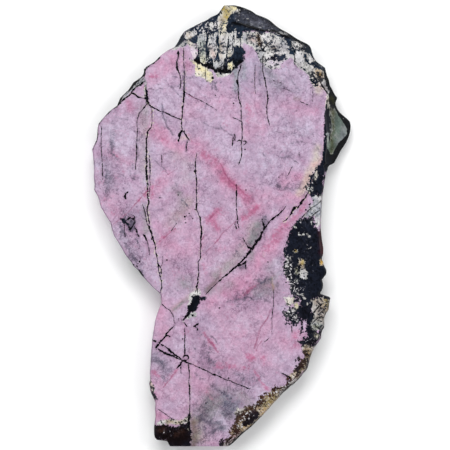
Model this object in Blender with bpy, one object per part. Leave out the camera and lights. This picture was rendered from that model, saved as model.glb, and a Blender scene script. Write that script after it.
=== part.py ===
"""A sawn slab of rhodonite with a natural broken edge, lying on its sawn back.

One solid: a flat polished face on top, a flat sawn back, and between them a rough edge. Where
the polish stops short of the edge, a broken shelf slopes down from it to the rim.

The outline is drawn on a square grid, x to the right and y down from the sheet's top left, and
each side is a chain of points from the tip to the sawn foot. Chains only ever run downwards, so
that a shelf can be measured straight across from the rim to the polished face.
"""

import bpy
import numpy as np

# Driving dimensions, in metres.
LENGTH = 0.160  # tip to sawn foot
THICKNESS = 0.0070  # sawn back to polished face

# The drawing grid: squares down the sheet at the tip and at the foot, and the slab's middle across.
TIP_Y = 5.3
FOOT_Y = 446.3
MIDDLE_X = 221.4
SQUARE = LENGTH / (FOOT_Y - TIP_Y)
MIDDLE_Y = (TIP_Y + FOOT_Y) / 2

# The rim as seen from above, in grid squares (x, y).
LEFT_RIM = [
    (224, 5.3), (222, 7.5), (220.5, 10.5), (218, 13.8), (216, 14.8), (211, 17), (208, 19.3),
    (204, 20.7), (200, 23.5), (196, 25.5), (190, 28), (187, 30), (184, 31.7), (181, 36),
    (178, 41.5), (174.5, 47), (170, 49.5), (165, 52.5), (160, 57), (156, 61.5), (151, 64.5),
    (146.5, 66.5), (144, 69), (143.5, 73.5), (141, 77), (138, 79), (133, 82.5), (131, 86),
    (128, 90), (123, 95), (120, 98), (118.5, 102), (117, 105.5), (113, 108.5), (109, 111.5),
    (104, 117), (100.5, 121), (98.5, 123.7), (97.5, 128), (97.2, 135), (96.5, 140), (94, 145),
    (92, 149.5), (93, 155), (93.5, 162), (94, 170), (93.8, 177), (94.5, 185), (95, 190),
    (97, 195), (99, 200), (100.5, 206.5), (104, 212.5), (107, 217.5), (110.5, 223), (112, 230),
    (114, 236), (117.5, 241), (121, 247), (126, 255), (131, 262), (134, 266.5), (138, 270),
    (141, 274.5), (146, 280), (151, 285.5), (155, 289), (158.5, 292), (160.5, 295), (161, 299),
    (161.3, 303), (159.5, 306.5), (158, 309.5), (156.5, 314), (155, 321), (154, 327), (153, 333),
    (152.5, 337), (152, 341), (151.5, 347), (151, 355), (150.5, 362), (150, 372), (150.2, 380),
    (149, 383.7), (150, 386.5), (150.6, 390), (151.5, 394), (153.5, 398), (155.3, 403),
    (155.7, 410), (155.4, 416), (154.5, 423), (154, 428), (154.1, 434), (154.8, 437.5),
    (157.5, 439.7), (163, 440.4), (167.5, 441.3), (169, 443.7), (170, 446.3),
]
RIGHT_RIM = [
    (235, 5.3), (240, 6.8), (245, 8.5), (250, 10.3), (254, 12.5), (257, 15), (261, 16.2),
    (265, 18), (269, 20), (272, 23), (276, 26.5), (280, 29.5), (285, 31.8), (290, 35),
    (293, 37.2), (297, 39.2), (300, 40.7), (305, 43), (309, 45.5), (311, 48.5), (312, 52),
    (313.5, 57), (315.5, 61.5), (319, 63.5), (322, 65.5), (325, 67.5), (326, 71), (327, 75.5),
    (329, 80), (330, 85), (332.5, 90), (335, 94.5), (336.8, 98), (336.5, 100), (335.5, 102.5),
    (335.7, 105), (337.5, 109), (341, 113.5), (344, 116), (347, 118.5), (350, 121.5),
    (350.8, 125), (350, 131), (348, 136.5), (345.5, 142), (342, 147), (339.5, 150.5),
    (337.5, 155), (335, 160.5), (333, 163.5), (329, 165.5), (328, 167.5), (327.8, 169.5),
    (326.5, 172), (325.5, 177), (324.5, 182), (323.5, 190), (322.5, 196), (322, 205),
    (321.5, 212), (321, 220), (320.9, 230), (321.5, 235), (322.5, 242), (323.5, 249),
    (323.3, 254), (322, 258), (322.6, 260.3), (324, 262.5), (324.2, 266), (326, 269),
    (326.5, 271), (325.8, 274), (323, 277), (322, 280), (323, 283), (323.1, 287), (322, 290),
    (320, 293), (322, 294.2), (325, 295.5), (330.5, 297.2), (330, 301), (329, 306),
    (328.4, 310), (326.5, 313), (325, 316), (324, 319), (324.3, 324), (324, 328), (322.5, 330),
    (321.5, 333), (321, 338), (319, 341.5), (316.5, 344), (314.5, 346.5), (313.3, 349),
    (311.5, 352.5), (310.5, 355.5), (310, 359), (309, 363), (308, 367), (306.5, 370),
    (303.5, 373), (300, 376.5), (297, 380), (292.5, 384.5), (290, 386.5), (286, 389.5),
    (281, 393), (277, 397.5), (271, 404.5), (266, 410.5), (262, 415), (257, 420), (250, 427),
    (245, 431), (239, 436), (233, 441.5), (230.5, 444), (228.5, 446.3),
]

# The broken shelf between the polished face and the rim: at y, its width across in grid
# squares, the step down at the polish's edge and the whole drop to the rim, in millimetres.
LEFT_SHELF = [
    (5, 1.5, 0.1, 0.7), (31, 2, 0.2, 1.0), (36, 4, 0.4, 2.6), (42, 5, 0.4, 3.0),
    (47, 3, 0.3, 1.8), (52, 1.5, 0.1, 0.8), (66, 1.5, 0.1, 0.9), (70, 3, 0.4, 2.4),
    (74, 2.2, 0.4, 2.6), (77, 4, 0.2, 3.2), (80, 9, 0.2, 3.8), (83, 7.2, 0.2, 3.8),
    (86, 5, 0.3, 3.6), (90, 3.6, 0.3, 3.4), (93, 5.4, 0.2, 3.4), (96, 4, 0.3, 3.0),
    (99, 3, 0.4, 2.6), (103, 1.8, 0.3, 1.8), (121, 1.6, 0.2, 1.2), (128, 1.3, 0.1, 0.7),
    (300, 1.2, 0.1, 0.6), (383, 1.3, 0.1, 0.7), (390, 3, 0.4, 2.0), (397, 3, 0.4, 2.2),
    (403, 1.4, 0.1, 0.8), (430, 1.3, 0.1, 0.7), (446.3, 1.3, 0.1, 0.5),
]
RIGHT_SHELF = [
    (5, 1.5, 0.1, 0.7), (8, 5, 0.1, 0.9), (10.3, 11, 0.2, 1.2), (13, 21, 0.2, 1.7),
    (20, 36, 0.3, 2.4), (25, 32, 0.3, 2.6), (28, 26, 0.4, 2.6), (30.5, 19, 0.4, 2.4),
    (33, 9, 0.4, 2.0), (37, 5, 0.3, 1.6), (42, 8, 0.3, 1.8), (46, 9, 0.3, 2.0),
    (50, 7.5, 0.3, 2.0), (57, 3.5, 0.3, 1.6), (63, 5, 0.3, 1.8), (68, 4, 0.4, 2.0),
    (75, 3.5, 0.4, 2.2), (82, 5, 0.4, 2.4), (86, 8.5, 0.4, 2.6), (95, 8, 0.6, 2.8),
    (98, 10, 0.8, 3.0), (103, 9.5, 1.0, 3.2), (109, 12, 1.2, 3.6), (116, 19, 1.3, 4.2),
    (121.5, 25, 1.4, 4.4), (128, 25.2, 1.4, 4.4), (136, 22.6, 1.4, 4.2), (142, 20.3, 1.3, 4.0),
    (150, 15.4, 1.3, 3.8), (155, 13.4, 1.2, 3.6), (160, 11, 1.0, 3.2), (165, 6.6, 0.8, 2.6),
    (168, 4, 0.4, 1.8), (173, 2.2, 0.2, 1.0), (182, 1.6, 0.1, 0.8), (230, 1.5, 0.1, 0.8),
    (236, 2.6, 0.2, 2.0), (245, 3.8, 0.2, 3.2), (252, 3.2, 0.2, 2.8), (258, 1.8, 0.1, 1.2),
    (290, 1.6, 0.1, 1.0), (295, 3.5, 0.2, 2.2), (300, 3, 0.2, 2.2), (304, 1.6, 0.1, 1.2),
    (330, 1.8, 0.1, 1.2), (349, 2.2, 0.2, 1.6), (372, 2, 0.2, 1.6),
    (380, 3.6, 0.2, 3.0), (386, 4.4, 0.2, 3.4), (393, 4, 0.2, 3.0), (400, 2, 0.2, 1.6),
    (424, 2, 0.2, 1.6), (431, 3.4, 0.2, 2.8), (437, 5, 0.2, 3.4), (446.3, 4, 0.2, 2.6),
]

MM = 0.001
STEP_FOOT = 0.2  # how far across the shelf the step down ends

# The broken wall below the rim: (share of the rim's height, least set back in metres).
WALL = [
    (0.88, 0.0001), (0.72, 0.0004), (0.54, 0.0003), (0.38, 0.0007), (0.22, 0.0006),
    (0.08, 0.0009), (0.0, 0.0011),
]
HOLLOW = 0.0012  # deepest further hollow in the wall, at its foot
LEDGES = 5  # the hollows come in this many steps, which leaves flat ledges between them
HOLLOW_WAVES = [(0.0213, 0.5), (0.0087, 0.3), (0.0047, 0.2)]  # (wave length in metres, share)
TURN_OVER = 4  # stations each way that a wall's direction is averaged over

STONE_PINK = (0.60, 0.36, 0.47, 1.0)


def across(x):
    """Grid x as metres to the right of the slab's middle."""
    return (x - MIDDLE_X) * SQUARE


def along(y):
    """Grid y as metres up from the slab's middle."""
    return (MIDDLE_Y - y) * SQUARE


def side(rim, shelf, inwards):
    """One side's stations from tip to foot: rim x, rim y, polish edge x, step and drop, in metres."""
    x, y = np.array(rim, float).T
    table = np.array(shelf, float).T
    width, step, drop = (np.interp(y, table[0], column) for column in table[1:])
    return np.stack([across(x), along(y), across(x + inwards * width), step * MM, drop * MM], axis=1)


def stations():
    """Both sides as one loop, anticlockwise from the tip: down the left and back up the right."""
    left = side(LEFT_RIM, LEFT_SHELF, 1)
    right = side(RIGHT_RIM, RIGHT_SHELF, -1)
    return np.concatenate([left, right[::-1]])


def outward(loop):
    """Each station's unit direction out of an anticlockwise loop, averaged over its neighbours."""
    run = sum(np.roll(loop, -k, axis=0) - np.roll(loop, k, axis=0) for k in range(1, TURN_OVER + 1))
    out = np.stack([run[:, 1], -run[:, 0]], axis=1)
    return out / np.linalg.norm(out, axis=1, keepdims=True)


def hollows(loop, phase):
    """From 0 to 1 round the loop, in steps: waves of a few lengths that never quite repeat."""
    gaps = np.linalg.norm(np.roll(loop, -1, axis=0) - loop, axis=1)
    place = np.concatenate([[0], np.cumsum(gaps)[:-1]])
    waves = [share * np.sin(2 * np.pi * place / length + phase * (n + 1))
             for n, (length, share) in enumerate(HOLLOW_WAVES)]
    return np.round((0.5 + 0.5 * np.sum(waves, axis=0)) * LEDGES) / LEDGES


def wall(rim, rim_height):
    """Rings from the back's edge up to just under the rim, set back further towards the back."""
    out = outward(rim)
    sawn = np.isclose(rim[:, 1], along(FOOT_Y))  # the sawn foot is cut straight down
    levels = []
    for level, (share, least) in enumerate(reversed(WALL)):
        depth = np.where(sawn, 0, least + HOLLOW * (1 - share) * hollows(rim, level * 0.9))
        levels.append(np.column_stack([rim - out * depth[:, None], share * rim_height]))
    return levels


def shelf(rim, rim_height, polish, step):
    """Rings from the rim in over the broken shelf, up its step, to the polished face's edge."""
    flat = np.full(len(rim), THICKNESS)
    foot_height = rim_height + (1 - STEP_FOOT) * (THICKNESS - step - rim_height)
    step_foot = polish + STEP_FOOT * (rim - polish)
    return [
        np.column_stack([rim, rim_height]),
        np.column_stack([step_foot, foot_height]),
        np.column_stack([polish, flat]),
    ]


def rings():
    """The slab's section carried round its outline, from the back's edge to the polish's edge."""
    table = stations()
    rim = table[:, :2]
    polish = table[:, [2, 1]]
    step, drop = table[:, 3], table[:, 4]
    rim_height = THICKNESS - drop
    return wall(rim, rim_height) + shelf(rim, rim_height, polish, step)


def closed_mesh(name, levels):
    """Rings joined by quads, with one flat face at the bottom and one at the top."""
    count = len(levels[0])
    points = np.concatenate(levels)
    faces = [tuple(range(count))[::-1]]
    for level in range(len(levels) - 1):
        low, high = level * count, (level + 1) * count
        for i in range(count):
            j = (i + 1) % count
            faces.append((low + i, low + j, high + j, high + i))
    top = (len(levels) - 1) * count
    faces.append(tuple(range(top, top + count)))
    mesh = bpy.data.meshes.new(name)
    mesh.from_pydata(points.tolist(), [], faces)
    mesh.validate()
    return mesh


def stone():
    """Polished rhodonite: pink, glossy, not metallic."""
    material = bpy.data.materials.new("rhodonite")
    material.use_nodes = True
    shader = material.node_tree.nodes["Principled BSDF"]
    shader.inputs["Base Color"].default_value = STONE_PINK
    shader.inputs["Roughness"].default_value = 0.25
    shader.inputs["Metallic"].default_value = 0.0
    material.diffuse_color = STONE_PINK
    return material


def main():
    for old in list(bpy.data.objects):
        bpy.data.objects.remove(old)
    mesh = closed_mesh("rhodonite_slab", rings())
    mesh.materials.append(stone())
    slab = bpy.data.objects.new("rhodonite_slab", mesh)
    bpy.context.scene.collection.objects.link(slab)


main()
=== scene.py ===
import bpy
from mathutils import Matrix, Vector
import numpy as np


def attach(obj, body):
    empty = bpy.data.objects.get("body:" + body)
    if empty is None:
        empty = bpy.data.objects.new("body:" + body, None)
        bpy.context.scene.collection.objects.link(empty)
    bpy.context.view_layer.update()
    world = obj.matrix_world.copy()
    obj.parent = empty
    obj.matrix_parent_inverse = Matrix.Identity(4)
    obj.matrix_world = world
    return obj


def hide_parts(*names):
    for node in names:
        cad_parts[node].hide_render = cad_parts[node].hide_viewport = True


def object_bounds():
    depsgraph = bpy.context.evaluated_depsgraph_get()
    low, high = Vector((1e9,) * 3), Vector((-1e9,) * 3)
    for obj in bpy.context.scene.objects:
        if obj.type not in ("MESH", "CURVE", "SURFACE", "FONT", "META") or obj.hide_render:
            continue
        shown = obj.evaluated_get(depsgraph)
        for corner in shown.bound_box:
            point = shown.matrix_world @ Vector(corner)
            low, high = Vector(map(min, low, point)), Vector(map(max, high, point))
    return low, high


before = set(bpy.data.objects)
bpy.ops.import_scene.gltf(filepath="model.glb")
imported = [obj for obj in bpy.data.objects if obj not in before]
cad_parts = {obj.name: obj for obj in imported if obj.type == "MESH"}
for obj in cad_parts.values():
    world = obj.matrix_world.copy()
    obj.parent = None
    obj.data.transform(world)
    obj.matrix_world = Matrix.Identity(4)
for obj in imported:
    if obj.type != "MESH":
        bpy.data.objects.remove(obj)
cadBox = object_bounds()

# The stone is drawn on a square grid, x to the right and y down, tip at the top.
grid = {
    "tip": 5.3,  # y of the tip
    "foot": 446.3,  # y of the sawn foot
    "middle": 221.4,  # x of the slab's middle
    "length": 0.160,  # metres from tip to foot
}
square = grid["length"] / (grid["foot"] - grid["tip"])  # one square in metres

slab = {
    "thickness": 0.0070,
    "rows": 340,  # sections from tip to foot
    "topColumns": 181,
    "backColumns": 63,
    "columnsPerLevel": [2, 2, 2, 2, 2, 2, 2, 7, 2],  # each side, from the back's edge to the polish
    "relief": 0.00035,  # deepest pit in the broken edge, in metres
    "pits": [(0.0019, 0.5), (0.0008, 0.3), (0.00035, 0.2)],  # (size in metres, share of the relief)
    "fade": 0.0015,  # metres above the sawn foot over which the relief sets in
    "fadeColumns": 2,  # columns over which it sets in at the back's edge and at the polish
    "stepFoot": 0.2,  # where a shelf's slope ends, as a share of its width from the polish
    "wall": [(0.88, 0.0001), (0.72, 0.0004), (0.54, 0.0003), (0.38, 0.0007), (0.22, 0.0006),
             (0.08, 0.0009), (0.0, 0.0011)],  # (share of the rim's height, least set back)
    "hollow": 0.0012,  # the most that the wall is hollowed towards the back, in metres
    "ledges": 5,  # steps that the hollows are cut into
    "hollowWaves": [(0.0213, 0.5), (0.0087, 0.3), (0.0047, 0.2)],  # (length in metres, share)
    "turnOver": 4,  # stations each way that the outward direction is taken over
    "sharpAngle": 38,  # degrees past which an edge stays crisp
    "leftRim": [
        (224, 5.3), (222.5, 7.5), (220.5, 10.5), (218, 13.8), (216, 14.8), (211, 17), (208, 19.3),
        (204.5, 21), (199.5, 23.5), (195.5, 25.5), (190, 28), (187, 30), (184, 31.7), (181, 36),
        (178, 41.5), (174.5, 47), (169.5, 49.5), (164.5, 52.5), (159, 57), (155, 61.5), (150, 64.5),
        (146.5, 66.5), (144, 69), (143.5, 73.5), (141, 77), (138, 79), (133, 82.5), (131, 86), (128, 90),
        (123, 95), (120, 98), (118.5, 102), (117, 105.5), (113, 108.5), (109, 111.5), (104, 117),
        (100.5, 121), (98.5, 123.7), (97.5, 128), (97.2, 135), (96.5, 140), (94, 145), (92, 149.5),
        (93, 155), (93.5, 162), (94, 170), (93.8, 177), (94.5, 185), (94, 190), (97, 195), (99, 200),
        (100.5, 206.5), (104, 212.5), (107, 217.5), (110.5, 223), (112, 230), (114, 236), (117.5, 241),
        (121, 247), (125.5, 255), (131, 262), (134, 266.5), (138, 270), (141, 274.5), (146, 280),
        (151, 285.5), (154.5, 289), (158.5, 292), (160.5, 295), (161, 299), (161.3, 303), (160, 306.5),
        (158.5, 309.5), (157, 314), (155, 321), (154, 327), (153, 333), (152.5, 337), (152, 341),
        (151.5, 347), (151, 355), (150.5, 362), (150, 372), (150.2, 380), (149, 383.7), (150, 386.5),
        (150, 390), (151.5, 394), (153.5, 398), (155.3, 403), (155, 410), (155.4, 416), (154.5, 423),
        (154, 428), (154.1, 434), (154.8, 437.5), (157, 440), (163, 440.5), (167.5, 441.2), (168.5, 444),
        (170, 446.3),
    ],
    "rightRim": [
        (235, 5.3), (241, 6.8), (246, 8.5), (250.5, 10.3), (254, 12.5), (257, 15), (261.5, 16.2),
        (266, 18), (269.5, 20), (273, 23), (277, 26.5), (281.5, 29.5), (286.5, 31.8), (291.5, 35),
        (294.5, 37.2), (298, 39.2), (300.5, 40.7), (306, 43), (309.5, 45.5), (311, 48.5), (312, 52),
        (313.5, 57), (316.5, 61.5), (319.5, 63.5), (322, 65.5), (325, 67.5), (326, 71), (327, 75.5),
        (329, 80), (330, 85), (332.5, 90), (335, 94.5), (337.5, 98), (336.5, 100), (335.5, 102.5),
        (335.7, 105), (337.5, 109), (341, 113.5), (344, 116), (347, 118.5), (350, 121.5), (350.8, 125),
        (350.5, 131), (349, 136.5), (346.5, 142), (343.5, 147), (341, 150.5), (338.5, 155),
        (335.5, 160.5), (334, 163.5), (329, 165.5), (328, 167.5), (327.8, 169.5), (326.5, 172),
        (325.5, 177), (324.5, 182), (323.5, 190), (322.5, 196), (322, 205), (321.5, 212), (321, 220),
        (320.9, 230), (321.5, 235), (322.5, 242), (323.5, 249), (323.3, 254), (322, 258), (322, 260.3),
        (323.5, 262.5), (324.2, 266), (326, 269), (326.5, 271), (326.5, 274), (324, 277), (322, 280),
        (323, 283), (323.1, 287), (322, 290), (320, 293), (321, 294.2), (325, 295.5), (330.5, 297.2),
        (330, 301), (329, 306), (328.4, 310), (326.5, 313), (325, 316), (324, 319), (324.3, 324),
        (324, 328), (322.5, 330), (321.5, 333), (321, 338), (319, 341.5), (317.5, 344), (315.5, 346.5),
        (314, 349), (312, 352.5), (311, 355.5), (310, 359), (309, 363), (308, 367), (306.5, 370),
        (303.5, 373), (301, 376.5), (298, 380), (293.5, 384.5), (290, 386.5), (287.5, 389.5), (283, 393),
        (279, 397.5), (272.5, 404.5), (267, 410.5), (263, 415), (258, 420), (251, 427), (246, 431),
        (240.5, 436), (235, 441.5), (232, 444), (229, 446.3),
    ],
    # the broken shelf inside the rim: (y, squares across, step down at the polish, whole drop in mm)
    "leftShelf": [
        (5, 1.5, 0.1, 0.7), (31, 2, 0.2, 1.0), (36, 4, 0.4, 2.6), (42, 5, 0.4, 3.0),
        (47, 3, 0.3, 1.8), (52, 1.5, 0.1, 0.8), (66, 1.5, 0.1, 0.9), (70, 3, 0.4, 2.4),
        (74, 2.2, 0.4, 2.6), (77, 4, 0.2, 3.2), (80, 9, 0.2, 3.8), (83, 7.2, 0.2, 3.8),
        (86, 5, 0.3, 3.6), (90, 3.6, 0.3, 3.4), (93, 5.4, 0.2, 3.4), (96, 4, 0.3, 3.0),
        (99, 3, 0.4, 2.6), (103, 1.8, 0.3, 1.8), (121, 1.6, 0.2, 1.2), (128, 1.3, 0.1, 0.7),
        (300, 1.2, 0.1, 0.6), (383, 1.3, 0.1, 0.7), (390, 3, 0.4, 2.0), (397, 3, 0.4, 2.2),
        (403, 1.4, 0.1, 0.8), (430, 1.3, 0.1, 0.7), (446.3, 1.3, 0.1, 0.5),
    ],
    "rightShelf": [
        (5, 1.5, 0.1, 0.7), (8, 5, 0.1, 0.9), (10.3, 11, 0.2, 1.2), (13, 21, 0.2, 1.7),
        (20, 36, 0.3, 2.4), (25, 32, 0.3, 2.6), (28, 26, 0.4, 2.6), (30.5, 19, 0.4, 2.4),
        (33, 9, 0.4, 2.0), (37, 5, 0.3, 1.6), (42, 8, 0.3, 1.8), (46, 9, 0.3, 2.0),
        (50, 7.5, 0.3, 2.0), (57, 3.5, 0.3, 1.6), (63, 5, 0.3, 1.8), (68, 4, 0.4, 2.0),
        (75, 3.5, 0.4, 2.2), (82, 5, 0.4, 2.4), (86, 8.5, 0.4, 2.6), (95, 8, 0.6, 2.8),
        (98, 10, 0.8, 3.0), (103, 9.5, 1.0, 3.2), (109, 12, 1.2, 3.6), (116, 19, 1.3, 4.2),
        (121.5, 25, 1.4, 4.4), (128, 25.2, 1.4, 4.4), (136, 22.6, 1.4, 4.2),
        (142, 20.3, 1.3, 4.0), (150, 15.4, 1.3, 3.8), (155, 13.4, 1.2, 3.6), (160, 11, 1.0, 3.2),
        (165, 6.6, 0.8, 2.6), (168, 4, 0.4, 1.8), (173, 2.2, 0.2, 1.0), (182, 1.6, 0.1, 0.8),
        (230, 1.5, 0.1, 0.8), (236, 2.6, 0.2, 2.0), (245, 3.8, 0.2, 3.2), (252, 3.2, 0.2, 2.8),
        (258, 1.8, 0.1, 1.2), (290, 1.6, 0.1, 1.0), (295, 3.5, 0.2, 2.2), (300, 3, 0.2, 2.2),
        (304, 1.6, 0.1, 1.2), (330, 1.8, 0.1, 1.2), (349, 2.2, 0.2, 1.6), (372, 2, 0.2, 1.6),
        (380, 3.6, 0.2, 3.0), (386, 4.4, 0.2, 3.4), (393, 4, 0.2, 3.0), (400, 2, 0.2, 1.6),
        (424, 2, 0.2, 1.6), (431, 3.4, 0.2, 2.8), (437, 5, 0.2, 3.4), (446.3, 4, 0.2, 2.6),
    ],
}
wallColumns = sum(slab["columnsPerLevel"][:len(slab["wall"])])  # each side, below the rim


def across(x):
    # metres to the right of the middle, (x - middle) * square
    return (x - grid["middle"]) * square


def along(y):
    # metres above the middle, (half of tip and foot together - y) * square
    return ((grid["tip"] + grid["foot"]) / 2 - y) * square


def outward(loop):
    # direction out of an anticlockwise loop: the run over the neighbours each way, turned a quarter
    reach = range(1, slab["turnOver"] + 1)
    run = sum(np.roll(loop, -k, axis=0) - np.roll(loop, k, axis=0) for k in reach)
    out = np.stack([run[:, 1], -run[:, 0]], axis=1)
    return out / np.linalg.norm(out, axis=1, keepdims=True)


def hollows(loop, phase):
    # 0 to 1 by distance s round the loop: steps of 0.5 + 0.5 * sum of share * sin(2 pi s / length + phase)
    gaps = np.linalg.norm(np.roll(loop, -1, axis=0) - loop, axis=1)
    place = np.concatenate([[0], np.cumsum(gaps)[:-1]])
    waves = [share * np.sin(2 * np.pi * place / length + phase * (n + 1))
             for n, (length, share) in enumerate(slab["hollowWaves"])]
    return np.round((0.5 + 0.5 * np.sum(waves, axis=0)) * slab["ledges"]) / slab["ledges"]


def stations(rim, shelf, inwards):
    # one side from tip to foot: rim x, rim y, polish edge x, step and drop, all in metres
    x, y = np.array(rim, float).T
    table = np.array(shelf, float).T
    width, step, drop = [np.interp(y, table[0], column) for column in table[1:]]
    return np.stack([across(x), along(y), across(x + inwards * width), step / 1000, drop / 1000], axis=1)


def levelRings():
    # the section's corner points at every station of the loop: down the left side, up the right
    left = stations(slab["leftRim"], slab["leftShelf"], 1)
    right = stations(slab["rightRim"], slab["rightShelf"], -1)
    loop = np.concatenate([left, right[::-1]])
    rim, step, drop = loop[:, :2], loop[:, 3], loop[:, 4]
    polish = loop[:, [2, 1]]
    high = slab["thickness"] - drop
    out = outward(rim)
    sawn = np.isclose(rim[:, 1], along(grid["foot"]))
    levels = []
    for number, (share, least) in enumerate(reversed(slab["wall"])):
        depth = least + slab["hollow"] * (1 - share) * hollows(rim, number * 0.9)
        depth = np.where(sawn, 0, depth)
        levels.append(np.column_stack([rim - out * depth[:, None], share * high]))
    levels.append(np.column_stack([rim, high]))
    foot = polish + slab["stepFoot"] * (rim - polish)
    footHigh = high + (1 - slab["stepFoot"]) * (drop - step)
    levels.append(np.column_stack([foot, footHigh]))
    levels.append(np.column_stack([polish, np.full(len(rim), slab["thickness"])]))
    levels = np.array(levels)
    count = len(left)
    return levels[:, :count], levels[:, count:][:, ::-1], out[:count], out[count:][::-1]


def byRow(values, rim, rows):
    # station values read off at every row, straight between stations: values is (..., station, k)
    y = np.array(rim, float)[:, 1]
    place = np.interp(rows, y, np.arange(len(y)))
    low = np.minimum(place.astype(int), len(y) - 2)
    part = (place - low)[:, None]
    return values[..., low, :] * (1 - part) + values[..., low + 1, :] * part


def hashed(corner, seed):
    # a repeatable number from 0 to 1 for each lattice corner: the fraction left by a large sine
    wave = np.sin(corner @ np.array([12.9898, 78.233, 37.719]) + seed * 4.17) * 43758.5453
    return wave - np.floor(wave)


def lumps(place, size, seed):
    # smooth noise from 0 to 1: lattice corners blended along each axis by t * t * (3 - 2 * t)
    cell = place / size
    low = np.floor(cell)
    t = cell - low
    t = t * t * (3 - 2 * t)
    total = np.zeros(place.shape[:-1])
    for corner in np.ndindex(2, 2, 2):
        weight = np.prod(np.where(np.array(corner) == 1, t, 1 - t), axis=-1)
        total += weight * hashed(low + np.array(corner), seed)
    return total


def sideSheet(levels, out, seed):
    # one side as (column, row, xyz), from the back's edge up the wall and over the shelf to the polish;
    # the wall's pits lie half outside the drawn outline and half inside it, and a shelf's all below it
    parts = []
    for number, count in enumerate(slab["columnsPerLevel"]):
        share = np.arange(count)[:, None, None] / count
        parts.append(levels[number] * (1 - share) + levels[number + 1] * share)
    sheet = np.concatenate(parts + [levels[-1:]])
    depth = slab["relief"] * sum(share * lumps(sheet, size, seed + number)
                                 for number, (size, share) in enumerate(slab["pits"]))
    column = np.arange(len(sheet))[:, None]
    fade = slab["fadeColumns"]
    ends = np.clip(np.minimum(column, len(sheet) - 1 - column) / fade, 0, 1)
    sawnEnd = np.clip((sheet[..., 1] - along(grid["foot"])) / slab["fade"], 0, 1)
    kept = ends * sawnEnd
    onWall = np.clip((wallColumns + fade - column) / (2 * fade), 0, 1)
    sheet[..., :2] -= out * ((depth - slab["relief"] / 2) * kept * onWall)[..., None]
    sheet[..., :2] = np.clip(sheet[..., :2], cadBox[0][:2], cadBox[1][:2])
    sheet[..., 2] -= depth * kept * (1 - onWall)
    return sheet


def slabSheet():
    # the whole surface as (column, row, xyz): left side up, top across, right side down, back across
    rows = np.linspace(grid["tip"], grid["foot"], slab["rows"])
    leftLevels, rightLevels, leftOut, rightOut = levelRings()
    left = byRow(leftLevels, slab["leftRim"], rows)
    right = byRow(rightLevels, slab["rightRim"], rows)
    left = sideSheet(left, byRow(leftOut, slab["leftRim"], rows), 3)
    right = sideSheet(right, byRow(rightOut, slab["rightRim"], rows), 11)
    t = (np.arange(1, slab["topColumns"]) / slab["topColumns"])[:, None, None]
    top = left[-1] * (1 - t) + right[-1] * t
    t = (np.arange(1, slab["backColumns"]) / slab["backColumns"])[:, None, None]
    back = right[0] * (1 - t) + left[0] * t
    sheet = np.concatenate([left, top, right[::-1], back])
    sizes = [len(left), len(top), len(right), len(back)]
    return sheet, sizes


def wrappedQuads(columns, rows):
    # quads between neighbouring columns and rows, the last column joined to the first
    c, r = np.meshgrid(np.arange(columns), np.arange(rows - 1), indexing="ij")
    n = (c + 1) % columns
    corners = np.stack([c * rows + r, c * rows + r + 1, n * rows + r + 1, n * rows + r], axis=-1)
    return corners.reshape(-1, 4)


def zipped(upper, lower, upperAt, lowerAt):
    # triangles between two chains running the same way: each further point joins the last of both
    at = np.concatenate([upperAt[1:], lowerAt[1:]])
    fromUpper = np.concatenate([np.ones(len(upper) - 1, int), np.zeros(len(lower) - 1, int)])
    order = np.argsort(at, kind="stable")
    fromUpper = fromUpper[order]
    up = np.concatenate([[0], np.cumsum(fromUpper)[:-1]])
    low = np.concatenate([[0], np.cumsum(1 - fromUpper)[:-1]])
    new = np.where(fromUpper == 1, upper[np.minimum(up + 1, len(upper) - 1)],
                   lower[np.minimum(low + 1, len(lower) - 1)])
    return np.stack([upper[up], lower[low], new], axis=1)


print("slab mesh")
sheet, sizes = slabSheet()
columnCount, rowCount = sheet.shape[:2]
points = sheet.reshape(-1, 3)
quads = wrappedQuads(columnCount, rowCount)


def capTriangles(row):
    # the flat end of the sheet at this row: the polished edge against all the rest, left to right
    leftCount, topCount = sizes[:2]
    upper = np.arange(leftCount - 1, leftCount + topCount + 1) * rowCount + row
    rest = np.concatenate([np.arange(leftCount + topCount + 1, columnCount), np.arange(leftCount - 1)])
    lower = rest[::-1] * rowCount + row
    start, end = points[upper[0], 0], points[upper[-1], 0]
    lowerAt = np.maximum.accumulate(np.clip(points[lower, 0], start, end))
    return zipped(upper, lower, points[upper, 0], lowerAt)


tipCap = capTriangles(0)[:, ::-1]
footCap = capTriangles(rowCount - 1)
print("rows", rowCount, "columns", columnCount, "triangles", 2 * len(quads) + len(tipCap) + len(footCap))

# Colours of the stone, as red, green and blue from 0 to 255.
palette = {
    "lavender": (208, 183, 209), "ash": (98, 92, 112), "chalk": (220, 218, 215), "pale": (212, 194, 218),
    "pink": (224, 162, 194), "rose": (196, 106, 146), "plum": (160, 86, 122), "mauve": (168, 140, 168),
    "taupe": (150, 149, 153), "sand": (186, 178, 184), "bark": (74, 48, 38), "peach": (226, 198, 190),
    "steel": (166, 168, 178), "teal": (38, 52, 70), "blueGrey": (152, 150, 168), "beige": (188, 174, 178),
    "white": (236, 232, 234), "cream": (226, 216, 200), "butter": (236, 224, 170), "ochre": (190, 168, 84),
    "tan": (178, 152, 114), "brown": (112, 88, 60), "green": (128, 150, 138), "olive": (92, 92, 52),
    "navy": (28, 32, 45), "ink": (11, 12, 17), "slate": (52, 60, 78), "umber": (26, 15, 17),
    "black": (9, 9, 12), "maroon": (78, 20, 34), "gold": (214, 168, 60),
}

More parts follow.
